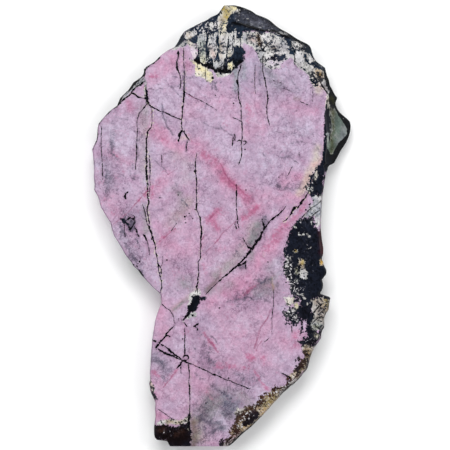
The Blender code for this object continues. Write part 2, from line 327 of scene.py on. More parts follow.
# Soft clouds of colour in the pink stone: (colour, radius, strength, x, y, x, y and so on)
stoneClouds = [
    ("beige", 5, 0.39, 142, 108, 141, 150, 142, 168), ("mauve", 7, 0.35, 108, 170, 114, 182),
    ("blueGrey", 5, 0.4, 104, 160, 108, 176, 110, 188), ("pink", 13, 0.51, 152, 78, 164, 66, 176, 60),
    ("pink", 6, 0.51, 113, 153, 128, 162), ("pink", 9, 0.68, 152, 130, 180, 148),
    ("beige", 8, 0.3, 176, 156, 188, 166, 186, 180),
    ("pink", 12, 0.42, 192, 108, 208, 100, 226, 104, 232, 112),
    ("pink", 10, 0.51, 256, 108, 262, 122, 250, 130), ("blueGrey", 9, 0.45, 262, 66, 264, 80, 272, 90),
    ("blueGrey", 8, 0.3, 284, 82, 298, 88), ("mauve", 7, 0.3, 274, 92, 284, 98),
    ("pink", 9, 0.42, 285, 108, 312, 112), ("mauve", 5, 0.35, 284, 122, 298, 124),
    ("pink", 11, 0.59, 198, 148, 210, 158, 222, 174, 246, 196, 254, 206),
    ("mauve", 6, 0.4, 278, 154, 288, 158), ("mauve", 6, 0.4, 276, 189, 300, 187),
    ("pink", 8, 0.59, 284, 180, 298, 178), ("pink", 9, 0.51, 270, 196, 300, 200),
    ("pink", 9, 0.59, 290, 222, 270, 252, 258, 264, 250, 278), ("mauve", 9, 0.6, 268, 280, 278, 292),
    ("taupe", 8, 0.55, 262, 288, 272, 286), ("taupe", 5, 0.4, 272, 278, 284, 270),
    ("beige", 6, 0.75, 254, 226, 248, 240, 238, 254, 228, 266, 218, 276),
    ("blueGrey", 4.5, 0.6, 264, 219, 262, 228, 254, 238), ("taupe", 3.5, 0.7, 258, 232, 250, 243),
    ("blueGrey", 5, 0.5, 244, 272, 240, 268, 248, 260), ("taupe", 3, 0.7, 221, 278, 213, 284, 207, 290),
    ("brown", 1.6, 0.35, 220, 279, 206, 293), ("mauve", 5, 0.4, 238, 240, 236, 248),
    ("pink", 7, 0.51, 152, 196, 158, 186, 170, 176), ("pink", 8, 0.42, 166, 246, 180, 250, 190, 246),
    ("taupe", 5, 0.4, 176, 190, 182, 202), ("beige", 7, 0.75, 188, 202, 172, 222),
    ("taupe", 4, 0.4, 184, 210, 176, 220), ("pink", 9, 0.34, 112, 200, 118, 212),
    ("blueGrey", 8, 0.4, 124, 242, 140, 264), ("pink", 34, 0.3, 172, 236, 240, 246, 240, 340, 176, 400),
    ("blueGrey", 5, 0.3, 140, 212, 144, 226), ("taupe", 2.5, 0.45, 146, 214, 145, 228, 146, 234),
    ("mauve", 6, 0.4, 176, 262, 186, 268), ("taupe", 6, 0.35, 180, 284, 188, 280),
    ("tan", 3, 0.3, 173, 310, 180, 303, 188, 297), ("pink", 9, 0.42, 162, 306, 160, 322, 164, 334),
    ("pink", 10, 0.42, 212, 306, 238, 284), ("mauve", 3, 0.5, 222, 304, 236, 299, 244, 297),
    ("mauve", 8, 0.4, 240, 306, 256, 300), ("pink", 15, 0.38, 240, 330, 258, 336, 266, 326),
    ("mauve", 7, 0.35, 206, 322, 196, 334), ("mauve", 9, 0.5, 202, 350, 206, 362, 220, 368),
    ("pink", 8, 0.42, 284, 340, 292, 348, 296, 336), ("pink", 8, 0.34, 260, 356, 272, 362),
    ("mauve", 8, 0.35, 238, 376, 252, 376), ("blueGrey", 6, 0.55, 154, 358, 164, 364, 166, 370),
    ("pink", 7, 0.34, 154, 384, 160, 396), ("pink", 8, 0.42, 204, 388, 214, 398, 204, 406),
    ("taupe", 6, 0.4, 222, 390, 240, 396), ("blueGrey", 8, 0.75, 226, 398, 236, 406, 232, 412),
    ("taupe", 8, 0.7, 196, 418, 206, 410, 216, 404), ("taupe", 7, 0.6, 196, 432, 200, 440),
    ("blueGrey", 6, 0.5, 214, 420, 222, 428), ("pink", 7, 0.3, 206, 440, 216, 436, 220, 442),
    ("brown", 3, 0.5, 193, 424, 192, 438, 193, 446), ("pink", 6, 0.68, 158, 416, 166, 420),
    ("cream", 4, 0.8, 322, 82, 318, 90), ("cream", 4, 0.7, 318, 148, 314, 164, 302, 190),
    ("blueGrey", 4, 0.7, 238, 66, 236, 78, 237, 90), ("green", 3, 0.35, 236, 70, 235, 80),
    ("cream", 3, 0.8, 192, 298, 196, 292, 194, 300), ("mauve", 1.6, 0.4, 116, 108, 116.5, 116, 115, 122),
    ("sand", 3.5, 0.52, 146, 108, 146.5, 120, 145.5, 135, 146, 180),
    ("mauve", 1.8, 0.45, 114, 161, 115, 167, 112, 170), ("taupe", 2, 0.6, 178, 193, 181, 192),
    ("sand", 3, 0.6, 144, 206, 146, 218, 147, 232), ("taupe", 3.5, 0.5, 183, 281, 190, 288),
    ("mauve", 2, 0.7, 252, 198, 253, 201), ("brown", 2, 0.4, 295, 98, 299, 99),
    ("mauve", 1.6, 0.5, 216, 210, 219, 209), ("taupe", 5, 0.85, 259, 224, 252, 242),
    ("taupe", 2.6, 0.7, 252, 252, 251, 258), ("sand", 5, 0.75, 216, 276, 225, 268, 234, 262, 242, 254),
    ("brown", 2.4, 0.5, 216, 281, 208, 290), ("taupe", 4, 0.4, 210, 292, 232, 284),
    ("taupe", 2.5, 0.6, 262, 283, 270, 280, 278, 275), ("taupe", 5, 0.45, 256, 292, 268, 294),
    ("tan", 1.2, 0.5, 272, 278, 272.6, 290), ("taupe", 1.5, 0.75, 174, 310.5, 187, 298.5),
    ("taupe", 7, 0.6, 212, 400, 206, 414), ("sand", 5, 0.6, 242, 394, 250, 404),
    ("taupe", 3.4, 0.7, 197, 420, 199, 430, 195, 441), ("bark", 3, 0.6, 193, 424, 195, 445),
    ("pink", 3, 0.5, 205, 441, 214, 443), ("taupe", 2, 0.6, 212, 417, 222, 414, 232, 418),
    ("pink", 4, 0.59, 187, 64, 189, 70), ("steel", 3, 0.75, 235, 66, 234.5, 75, 236, 88),
    ("peach", 2, 0.6, 183, 138, 187, 138),
    ("peach", 3, 0.8, 320, 160, 314, 166, 308, 176, 303, 188, 299, 194),
    ("white", 1, 0.6, 264.5, 253, 264.5, 257), ("steel", 5, 0.7, 264, 64, 268, 74, 280, 84),
    ("steel", 4, 0.7, 243, 64, 244, 76), ("tan", 7, 0.35, 195, 424, 200, 436),
    ("taupe", 10, 0.4, 212, 396, 226, 416, 206, 430), ("blueGrey", 7, 0.3, 104, 130, 118, 140),
    ("taupe", 5, 0.3, 268, 268, 276, 262), ("rose", 4, 0.5, 128, 102, 131, 109),
    ("rose", 4, 0.55, 210, 220, 217, 212), ("rose", 3.4, 0.5, 213, 222, 219, 230),
    ("steel", 3.4, 0.7, 130, 221, 133, 222), ("mauve", 9, 0.35, 124, 206, 134, 216),
    ("lavender", 7, 0.45, 208, 434, 218, 440), ("lavender", 8, 0.3, 140, 256, 146, 270),
    ("rose", 4.6, 0.42, 202, 154, 218, 166, 231, 184, 243, 194, 248, 200),
]

# Marks in the pink stone that the material breaks up: (radius, strength, x, y, x, y and so on)
ashMarks = [
    (2, 0.45, 113, 122, 115, 128, 113, 142, 112.5, 149), (1.4, 0.4, 111, 131, 111, 140, 112, 150, 113, 154),
    (1.3, 0.45, 116, 117, 127, 120), (1.2, 0.35, 124, 124, 130, 129, 136, 133),
    (1.2, 0.3, 128, 113, 137, 119), (1.5, 0.3, 136, 92, 137, 104, 136.5, 112),
    (1.2, 0.35, 145.5, 115, 145.5, 125), (2, 0.5, 136.5, 140, 138, 150, 137, 157),
    (1.6, 0.5, 139, 140, 143, 136), (1.6, 0.45, 108, 151, 113, 154, 117, 160, 121, 161),
    (1.8, 0.4, 106, 170, 107, 178, 104, 182), (1.8, 0.4, 109, 178, 107, 192),
    (1.5, 0.4, 132, 160, 133, 166, 130, 172, 132, 178), (1.8, 0.5, 135, 174, 134, 180),
    (1.6, 0.4, 131, 165, 128, 169), (1.2, 0.4, 115, 178, 121, 177), (1.2, 0.4, 118, 170, 120, 176),
    (1.2, 0.4, 120, 153, 122, 155), (1.2, 0.4, 129, 153, 131, 155), (1, 0.6, 153, 142.6, 157, 143),
    (1, 0.6, 159, 142.5, 162, 143.5), (0.9, 0.5, 150, 155.5, 158, 155, 174, 152.5),
    (1.3, 0.75, 161.5, 104, 162, 112, 163, 117, 165, 121, 167, 127, 173, 135),
    (0.9, 0.65, 155, 160, 160, 165, 168, 175), (1.4, 0.45, 174, 182, 177, 186, 177.5, 192),
    (1.1, 0.75, 187.5, 141, 186.5, 146, 186.3, 152), (2.5, 0.4, 130, 257, 136, 262),
    (1.4, 0.7, 125, 221, 127, 225, 131, 228, 134, 226, 132, 231, 128, 230), (1.2, 0.6, 122, 231, 126, 236),
    (1.2, 0.5, 136, 240, 140, 247), (1.4, 0.5, 118, 222, 121, 227), (5, 0.3, 128, 212, 134, 226),
    (1.5, 0.45, 125, 242, 127, 245), (1.5, 0.4, 184, 276, 186, 280), (1.5, 0.4, 177, 265, 179, 268),
    (0.9, 0.75, 181, 199, 184, 201.5, 189, 208.5), (0.9, 0.7, 158.5, 197.5, 161.5, 198),
    (1.2, 0.4, 157, 211, 160, 213), (1.2, 0.6, 203, 123, 211, 126.5, 222, 129.5, 231, 134, 235, 134.5),
    (0.9, 0.45, 218.5, 122, 221, 128), (0.9, 0.4, 221, 128, 226, 127, 231, 123),
    (2, 0.35, 230, 198, 236, 199), (1.5, 0.35, 205, 146, 209, 152), (1.5, 0.35, 218, 155, 219, 160),
    (2, 0.45, 262, 153, 266, 158, 270, 162), (1.5, 0.35, 265, 162, 268, 166),
    (1.3, 0.5, 280, 157, 284, 158.5, 287, 155), (1, 0.45, 284, 152, 288, 150),
    (0.9, 0.5, 287, 156, 294, 160, 298, 163),
    (1.3, 0.5, 290, 142, 309, 142.5, 314, 144, 318, 148, 320.5, 154), (0.8, 0.4, 305.5, 143, 306, 160),
    (0.8, 0.4, 302.5, 107, 302.8, 112), (0.8, 0.4, 294, 112, 299, 109),
    (0.9, 0.45, 283, 119, 285, 117, 290, 116), (5, 0.3, 280, 132, 295, 134, 312, 134),
    (2.2, 0.45, 276, 186, 284, 189, 302, 188.5), (1, 0.4, 230, 211, 233, 212),
    (1.2, 0.45, 192, 218, 189, 217), (1.2, 0.35, 203, 233, 205, 241), (2.6, 0.6, 263, 221, 265.5, 225),
    (1.6, 0.5, 266, 217, 268, 222), (1.2, 0.5, 262, 228, 266, 239), (1.5, 0.45, 238, 237, 240, 239),
    (1.4, 0.5, 236, 247, 240, 244, 241, 246), (1.3, 0.4, 236, 250, 237, 253),
    (3, 0.75, 241, 268, 244.5, 267), (1.2, 0.6, 203.5, 286.5, 205, 288),
    (1.6, 0.45, 254, 280, 262, 282, 270, 279), (1, 0.55, 247, 297, 252, 298.3, 258, 298.8),
    (1.4, 0.6, 264, 299.6, 269, 302), (1.5, 0.5, 227, 301.6, 245, 298.4), (1, 0.6, 281, 258.5, 283.5, 255),
    (2.4, 0.4, 278, 262, 283, 260), (1.3, 0.45, 277, 283, 278, 287), (0.9, 0.6, 194, 347.5, 196, 348.7),
    (1, 0.5, 195, 373, 197.5, 376), (0.9, 0.5, 198, 329, 201.4, 334.5), (0.9, 0.7, 211, 336, 216.5, 341),
    (1.5, 0.2, 204, 341, 205, 345), (2.4, 0.25, 208, 360, 214, 366), (1.2, 0.5, 221, 370, 219, 373),
    (1.2, 0.25, 222, 348, 224, 356), (2, 0.4, 262, 375, 267, 376), (1.2, 0.55, 276, 370, 288, 376),
    (3, 0.5, 154, 360, 163, 363, 163, 369), (1.3, 0.5, 157, 354, 160, 352), (1.2, 0.45, 168, 357, 172, 362),
    (2, 0.5, 212, 385, 226, 396), (1.3, 0.5, 199, 379, 206, 378), (1.5, 0.4, 200, 392, 204, 393),
    (1.4, 0.4, 236, 374, 244, 380), (6, 0.6, 227, 404, 226, 412), (4, 0.35, 234, 412, 238, 406),
    (9, 0.35, 206, 398, 204, 416, 214, 428), (6, 0.2, 214, 380, 206, 352), (8, 0.25, 240, 384, 256, 380),
    (9, 0.2, 262, 286, 246, 300), (6, 0.12, 108, 176, 106, 186), (1.8, 0.55, 203, 420, 211, 424, 221, 423),
    (2, 0.6, 213, 431, 219, 429, 226, 428), (1.4, 0.45, 204, 430, 206, 436), (1.5, 0.5, 223, 438, 221, 443),
    (2, 0.65, 183.8, 72, 183.6, 80, 184.2, 90), (1.6, 0.55, 177.4, 60, 177.6, 68),
    (1, 0.6, 172.5, 77.6, 176.5, 76.4), (0.9, 0.65, 187, 77.5, 198, 77.6),
    (0.9, 0.6, 157, 84.5, 159.4, 84.3), (1, 0.6, 149, 89, 155, 90, 164, 88), (1.1, 0.5, 164, 93, 166, 92.6),
    (0.9, 0.55, 162, 79, 172, 88, 176, 93, 181, 98), (0.9, 0.5, 170, 86.5, 176, 87, 181, 83),
    (0.8, 0.5, 180, 56, 184, 56.5, 187, 59), (1.1, 0.7, 212.8, 80, 213, 88), (1.2, 0.7, 216, 81, 216, 89.5),
    (1.2, 0.4, 220, 80, 223, 86), (1.2, 0.45, 190, 113, 194, 119, 199, 117),
    (1.2, 0.4, 206, 96, 205.6, 109), (1, 0.4, 186, 122, 193, 122), (1.2, 0.4, 146.4, 63, 152, 66),
    (1, 0.4, 240.8, 95, 240.6, 101), (0.8, 0.45, 241, 94.8, 246, 94.4),
    (1.3, 0.5, 262, 68, 259, 76, 260, 86), (1.5, 0.4, 270, 72, 276, 80, 286, 88),
    (1.3, 0.4, 282, 74, 292, 82, 300, 90), (1.2, 0.4, 276, 92, 284, 88, 298, 92),
    (1.4, 0.4, 288, 66, 290, 76), (1.2, 0.4, 300, 74, 306, 82), (1.2, 0.5, 255, 70, 252, 82),
    (2.2, 0.75, 131, 221, 134.4, 222), (1.2, 0.6, 133, 226, 136, 230, 139, 236),
    (2, 0.5, 122, 228, 121, 238), (2.4, 0.7, 139.4, 271.6, 142.4, 276.4),
    (2, 0.45, 126, 246, 131, 254, 136, 260),
]
roseMarks = [
    (3.2, 0.34, 153, 76, 157, 77), (3, 0.3, 128, 106, 131, 111), (2.5, 0.26, 114, 154, 122, 159),
    (3, 0.34, 98, 183, 104, 185), (4, 0.21, 156, 131, 168, 141), (4, 0.26, 318, 100, 318, 112),
    (4.5, 0.28, 203, 153, 212, 160, 221, 170, 224, 177), (4, 0.41, 224, 177, 232, 185, 242, 192, 248, 199),
    (4, 0.42, 210, 219, 216, 212, 222, 216), (4, 0.47, 243, 219, 250, 212, 257, 207),
    (3, 0.34, 216, 222, 220, 228), (3.5, 0.34, 218, 252, 226, 246),
    (4.5, 0.42, 304, 208, 287, 225, 268, 248), (3.5, 0.38, 140, 200, 148, 190, 156, 184, 160, 180),
    (2.4, 0.34, 158, 243, 166, 236, 175, 229), (2.6, 0.42, 238, 296, 246, 292, 251, 287),
    (2.4, 0.42, 204.5, 333, 213.5, 345, 217, 351), (4, 0.38, 217, 365, 240, 368, 248, 366),
    (2.4, 0.3, 250, 354, 253, 359), (2, 0.42, 258, 376, 268, 390), (4, 0.47, 296, 334, 294, 346),
    (4, 0.26, 276, 371, 284, 376), (3, 0.42, 152, 374, 158, 377), (2.4, 0.42, 162, 384, 168, 376, 176, 371),
    (3, 0.26, 208, 392, 214, 404), (1.4, 0.42, 116, 156, 122, 159, 126, 162), (3, 0.3, 158, 136, 166, 140),
    (0.8, 0.34, 160, 187, 170, 175), (2.5, 0.47, 151, 183, 154, 190, 152, 197),
    (3, 0.42, 188, 131, 196, 146), (3, 0.51, 142, 195, 145, 193), (4, 0.42, 103, 200, 106, 206),
    (3, 0.26, 112, 214, 120, 216), (2.5, 0.42, 157, 244, 163, 238, 170, 230),
    (4, 0.4, 247, 105, 250, 110, 251, 115), (3, 0.51, 247, 121, 249, 124),
    (3.6, 0.34, 203, 155, 216, 160, 220, 164, 224, 176, 233, 184),
    (3.5, 0.59, 233, 184, 238, 188, 243, 193, 247, 198, 251, 198), (4, 0.47, 256, 207, 250, 213, 246, 219),
    (2.5, 0.51, 305, 204, 302, 212, 296, 220), (3, 0.59, 212, 214, 215, 212, 218, 209),
    (2.6, 0.51, 208, 220, 211, 218), (2.4, 0.42, 213, 224, 217, 230), (3, 0.51, 250, 215, 254, 210),
    (3, 0.47, 243, 221, 245, 218), (2, 0.38, 238, 206, 242, 210), (2.4, 0.47, 203, 262, 204, 268, 206, 274),
    (2, 0.34, 217, 241, 219, 246, 216, 251), (1.5, 0.3, 200, 248, 207, 243),
    (1.8, 0.64, 258, 284, 251, 288.5, 241, 297), (4, 0.42, 283, 226, 274, 233),
    (5, 0.34, 270, 240, 262, 258), (1.8, 0.6, 205.5, 334.5, 212.5, 344, 215.5, 349),
    (1, 0.51, 203, 331, 206, 336), (2.6, 0.51, 214, 367, 222, 367.6, 230, 366, 238, 370, 246, 369),
    (2, 0.36, 247, 355.4, 252, 358, 255, 363), (3, 0.34, 263, 358, 264, 364),
    (1.5, 0.55, 254, 370, 259, 378, 267, 389), (3, 0.47, 290, 347, 297, 345),
    (2.2, 0.51, 163, 387, 176, 371), (2.4, 0.42, 153, 372, 158, 377), (2.4, 0.4, 152, 75, 155, 77),
    (1.8, 0.42, 185, 62, 187, 67), (3, 0.42, 250, 53, 248, 56), (3, 0.7, 248, 356, 253, 361),
]
paleMarks = [
    (18, 0.34, 150, 76, 176, 92, 206, 108, 300, 124), (12, 0.3, 106, 150, 112, 176),
    (14, 0.25, 262, 160, 300, 172), (16, 0.7, 118, 130, 126, 142), (12, 0.6, 158, 92, 172, 108, 166, 118),
    (10, 0.5, 296, 72, 304, 76), (11, 0.45, 300, 134, 290, 146), (12, 0.4, 214, 140, 240, 160),
    (10, 0.35, 258, 150, 262, 166), (8, 0.6, 278, 262, 282, 276), (7, 0.4, 224, 256, 216, 266),
    (8, 0.4, 150, 262, 156, 276), (15, 0.55, 236, 326, 252, 324), (8, 0.5, 176, 336, 190, 346),
    (12, 0.4, 166, 398, 176, 404), (7, 0.5, 218, 416, 228, 420), (6, 0.5, 250, 392, 262, 392),
    (5, 0.9, 318, 200, 312, 208, 318, 212), (2, 0.6, 149, 234, 150, 239), (2.4, 0.7, 221, 423, 228, 424),
    (10, 0.4, 108, 132, 124, 150, 128, 170), (12, 0.4, 268, 80, 302, 84), (9, 0.3, 200, 156, 232, 148),
    (5, 0.6, 125, 243, 139, 262),
]
marks = {"ash": ashMarks, "rose": roseMarks, "pale": paleMarks}

# Pale mottled stone under the dark patches: (ragged by, then x, y of each corner)
palePatches = [
    (1.7, 237, 33, 250, 31, 276, 33, 290, 38, 314, 50, 322, 62, 331, 72, 336, 92, 330, 95, 322, 89, 318, 88,
     314, 88, 311, 84, 309, 78, 306, 72, 300, 69, 296, 66, 294, 60, 290, 58, 286, 60, 282, 63, 281, 68,
     272, 69, 266, 68, 262, 63, 258, 60, 257, 52, 252, 47, 246, 44, 238, 44),
    (1, 189, 59, 195, 60, 203, 64, 210, 69, 213, 73, 213.5, 80, 211, 83, 207, 81, 204, 78.6, 201, 77,
     195, 76, 195, 65), (1, 215, 71, 228, 70, 233, 68, 231, 74, 225, 77, 217, 77),
    (0.8, 187, 41, 194, 42, 196, 46, 196, 60, 192, 58, 190, 47),
    (1.4, 308, 300, 321, 294, 334, 296, 334, 308, 329, 316, 328, 330, 318, 331, 312, 331, 307, 324,
     309, 318, 312, 312, 309, 306),
    (1.4, 309, 192, 314, 195, 322, 193, 323, 219, 318, 219.4, 314, 215.6, 309, 218, 302, 217.4, 312.4, 204,
     313.2, 200, 311, 197),
    (2.2, 300, 344, 303, 352, 304, 357, 299, 362, 294, 371, 290, 374, 288, 377, 289, 381, 286, 385,
     280, 386, 276, 388, 272, 388, 270, 391, 266, 395, 262, 398, 258, 402, 256, 406, 249, 405, 243, 407,
     237, 408, 235, 413, 236, 418, 235, 424, 231, 427, 229, 431, 229, 436, 221, 446, 230, 447, 256, 423,
     290, 389, 309, 366, 316, 345),
    (2.4, 285, 297, 288, 294.6, 291, 293.4, 293, 297, 296.6, 299, 294, 301, 293.6, 304, 294, 307,
     291.6, 305.6, 289, 307, 286, 306, 284.6, 302),
    (1.6, 166, 419, 176, 420, 190, 417, 191, 423, 180, 425, 168, 425, 156, 426, 156, 423),
    (0.8, 150, 380, 154, 386, 155, 391, 152, 394, 149.4, 386),
    (2.4, 284, 252, 292, 252, 299, 262, 297, 276, 296, 290, 290, 284, 284, 274),
    (1, 190, 293, 200, 289, 201, 295, 194, 299, 190, 305, 187, 306),
    (0.8, 189, 313, 194, 311, 197, 313, 196, 317, 191, 318, 186, 320, 184, 323, 182, 322, 187, 318),
    (1, 326, 92, 330, 94, 332, 104, 331, 120, 330, 150, 328, 165, 325, 165, 324, 140, 325, 108),
    (0.7, 163.6, 334.4, 165.4, 334.4, 165, 336, 163.4, 336),
    (0.8, 119, 103, 124, 94, 130, 87, 136, 81, 143, 75, 146, 79, 145, 82.4, 132, 90.4, 128, 95),
    (0.8, 144.4, 82, 147.6, 80.4, 147, 88, 146, 92, 144, 96, 143.6, 90),
]

# Dark manganese stone: (ragged by, then x, y of each corner)
darkPatches = [
    (1.3, 184, 28, 190, 24, 218, 10, 222, 3, 230, 2, 243, 3, 293, 30, 308, 36, 320, 42, 322, 57, 313, 60,
     310, 55, 303, 51.5, 296, 51, 290, 50, 289, 44, 284, 39, 279, 37, 275, 34, 270, 32, 262, 33, 250, 30,
     242, 33, 241, 45, 245, 52, 244, 60, 240, 66, 229, 73, 224, 75, 213, 71, 194, 62, 193, 60, 197, 57,
     196, 43, 190, 42, 185, 42),
    (1.2, 309, 64, 314, 61, 318, 60, 332, 62, 338, 72, 341, 84, 346, 94, 346, 99, 334, 102, 328.6, 97,
     329.4, 92, 323.6, 78, 323.4, 72, 321, 70, 316, 69, 313, 66),
    (2.4, 267, 57.4, 272, 54.6, 278, 54, 285, 55, 286, 58, 281, 61, 276, 61, 269, 60),
    (2.4, 257, 32, 260.5, 33, 260.5, 44, 258, 46.5, 256.6, 40),
    (1.4, 261.6, 48, 265, 48.6, 265, 51.4, 262, 51.6), (2.6, 290, 49, 297, 49, 295, 54, 291, 53),
    (2.2, 303.4, 54, 308, 54, 308, 63, 304, 63),
    (2.6, 311, 77, 316, 77, 318.6, 80, 317, 85, 314, 87.5, 311, 84),
    (2, 319, 72, 322, 72, 322, 78, 320, 78), (1.6, 300, 66.4, 304, 68, 307, 70, 303, 69.6),
    # this patch's inner side, down the ledge below the polish, is partly a crack, partly painted shade where
    # the polish steps down
    (0.8, 327, 94, 338, 95, 346, 111, 354, 124, 351, 137, 340, 157, 334, 169, 321, 174, 322, 158, 324, 140,
     324, 118),
    (2.4, 322, 159, 329, 164, 327, 175, 324, 184, 324, 193, 321, 195, 318, 196, 313, 194, 311, 196,
     308, 192, 304, 191, 305, 188, 309, 181, 310, 176, 314, 172, 316, 168),
    (1.9, 306, 216.5, 312, 216, 314, 218, 315, 226, 318, 229, 330, 228, 334, 245, 334, 256, 336, 271,
     334, 290, 326, 294.6, 335, 294, 336, 300, 326, 300.4, 320, 299, 311, 300.4, 314, 304.6, 313.6, 308,
     312, 310.4, 314.6, 314, 315.6, 318, 312, 320, 309.6, 322, 308, 321, 303, 321, 298, 319, 297, 310,
     300, 306, 300, 300, 292, 294, 290, 290, 290, 286, 287, 281, 289, 276, 288, 272, 284, 268, 288, 262,
     289, 257, 285, 254, 283.4, 250, 287, 246, 287, 240, 289, 233, 293, 224, 296, 221.6),
    (4, 284, 257, 294, 256, 300, 264, 298, 278, 290, 284, 285, 274),
    (4, 284, 309, 290, 306, 299, 306, 302, 318, 296, 324, 289, 321, 284, 315),
    (1.6, 293.4, 299.6, 296, 297.6, 300.6, 299, 300.4, 304, 297.6, 302.4, 294.6, 303.8),
    (1.6, 301, 321, 303, 321, 301.6, 334, 300, 334),
    (1.4, 307.6, 319, 311, 320, 309, 330, 307, 334, 305.6, 333),
    (1.6, 318, 291, 331, 296, 331, 300, 319, 298),
    (2, 305, 317, 310.4, 318, 311.4, 321, 310, 326, 307, 324),
    (2.2, 307, 321, 311, 328, 317, 331.6, 324, 328, 323, 333, 316, 345, 311, 348, 304, 349, 299, 345,
     297, 341, 302, 339, 307, 336), (1.4, 306.4, 359, 310.6, 359, 308.8, 368, 306, 368),
    (2.4, 296, 365, 304, 363, 304, 371, 296, 371),
    (2.4, 286, 376, 291, 376, 292, 383, 289, 388, 284, 389, 287, 382),
    (2.4, 271, 387, 276, 386.4, 281, 387.2, 280.6, 389.8, 275, 389.4, 272.6, 391.4, 270, 391),
    (1.3, 243, 415, 246, 412.2, 250, 410.4, 257, 410.4, 260.4, 413, 259.4, 416.6, 254.6, 420.4,
     250.8, 425.2, 247, 426.6, 243, 427.2, 240.4, 426, 241, 422.6, 246, 417.6),
    (3.2, 230, 430, 236, 426.6, 241, 428, 240, 434, 235, 435.4, 230, 434.6),
    (1.6, 219.4, 444, 222, 439, 224.4, 441, 223, 447, 220, 447),
    (1.2, 192, 296, 196, 294.6, 199, 295, 201, 297.5, 204, 296.5, 206, 297, 205, 299.5, 201, 300.5,
     198, 305, 196, 311, 191, 313.5, 187, 317, 183.4, 321, 181, 320.5, 186, 313.6, 188, 308.5, 187.5, 305.5,
     191, 303, 192.5, 299.5),
    (1.6, 153, 424, 159, 424, 163, 425, 169, 425, 176, 427, 184, 424, 187, 422, 188.4, 414, 190, 414,
     191, 430, 191, 448, 168, 448, 166, 440, 153, 441),
    (1.2, 150.6, 389.6, 153, 391, 156, 397, 156.4, 400.6, 154, 398.6),
    (0.6, 174, 47, 178, 41, 181, 35, 184, 31, 185, 40, 183, 44, 177, 48),
    (1.5, 120.6, 218.8, 122.6, 217.8, 124.6, 219.6, 127, 219.4, 128.6, 216.8, 130.6, 216.8, 130.4, 219.4,
     129, 221.4, 130, 223.4, 129.4, 225, 127.6, 226, 123.4, 223.8),
    (1, 146, 89.6, 147.2, 90, 148.4, 103, 146.4, 104, 145, 98),
    (2.2, 296.6, 358, 299, 356.6, 299.6, 360, 297.4, 361.4),
    (2.4, 259, 397.4, 261.6, 396.8, 261.4, 399.4, 259.4, 400), (2.4, 266, 394.4, 268.2, 393.4, 268, 395.8),
    (2.2, 248, 406.4, 250.6, 406, 250.4, 408), (2.2, 263.6, 402.4, 266, 401.6, 265, 404),
    # these three run along the upper left rim: partly the edge's black crust, partly painted shade on the
    # bevel
    (0.3, 126.4, 89.6, 131, 82, 136, 78, 139, 80.6, 133.4, 86.4, 131.4, 89.4, 129.4, 91),
    (0.3, 115.6, 106, 117, 101, 120.6, 95.6, 123.6, 96.6, 120, 104, 117.6, 106.6),
    (0.3, 141.4, 77, 142, 70, 144, 66, 147.4, 64.6, 147.4, 68, 145.4, 71, 144.8, 76.6),
]

# Round dots of dark stone: (x, y, radius)
spots = [
    (136.3, 267.6, 1.2), (139.4, 261.4, 0.9), (184.9, 216.7, 0.9), (189, 213.3, 0.7), (185.7, 222.7, 0.8),
    (192.7, 218.7, 0.6), (159.8, 197.8, 0.7), (192.8, 315.3, 1.2), (215.5, 95.3, 0.8), (233.5, 103.2, 0.9),
    (278.7, 177.2, 0.7), (206, 403.2, 0.9), (178.2, 195, 0.9), (313.3, 200.4, 0.8), (306, 209.7, 0.9),
    (325.6, 308.4, 0.8), (325.4, 314, 0.8), (321.6, 321.6, 0.8), (286.4, 313.2, 0.8), (295.6, 316.4, 0.7),
    (245, 149.5, 0.8), (137.8, 303, 0.6), (212.6, 78, 1.4), (182.5, 339, 0.9), (228.5, 378, 0.7),
    (158, 222, 0.6), (167, 260, 0.7), (219.4, 308, 0.6), (246, 190, 0.7), (120, 232, 0.6), (268, 262, 0.7),
    (284.4, 268, 0.9), (206.6, 103.6, 0.6), (136.6, 266.6, 1.3), (133.6, 264.8, 0.7),
]

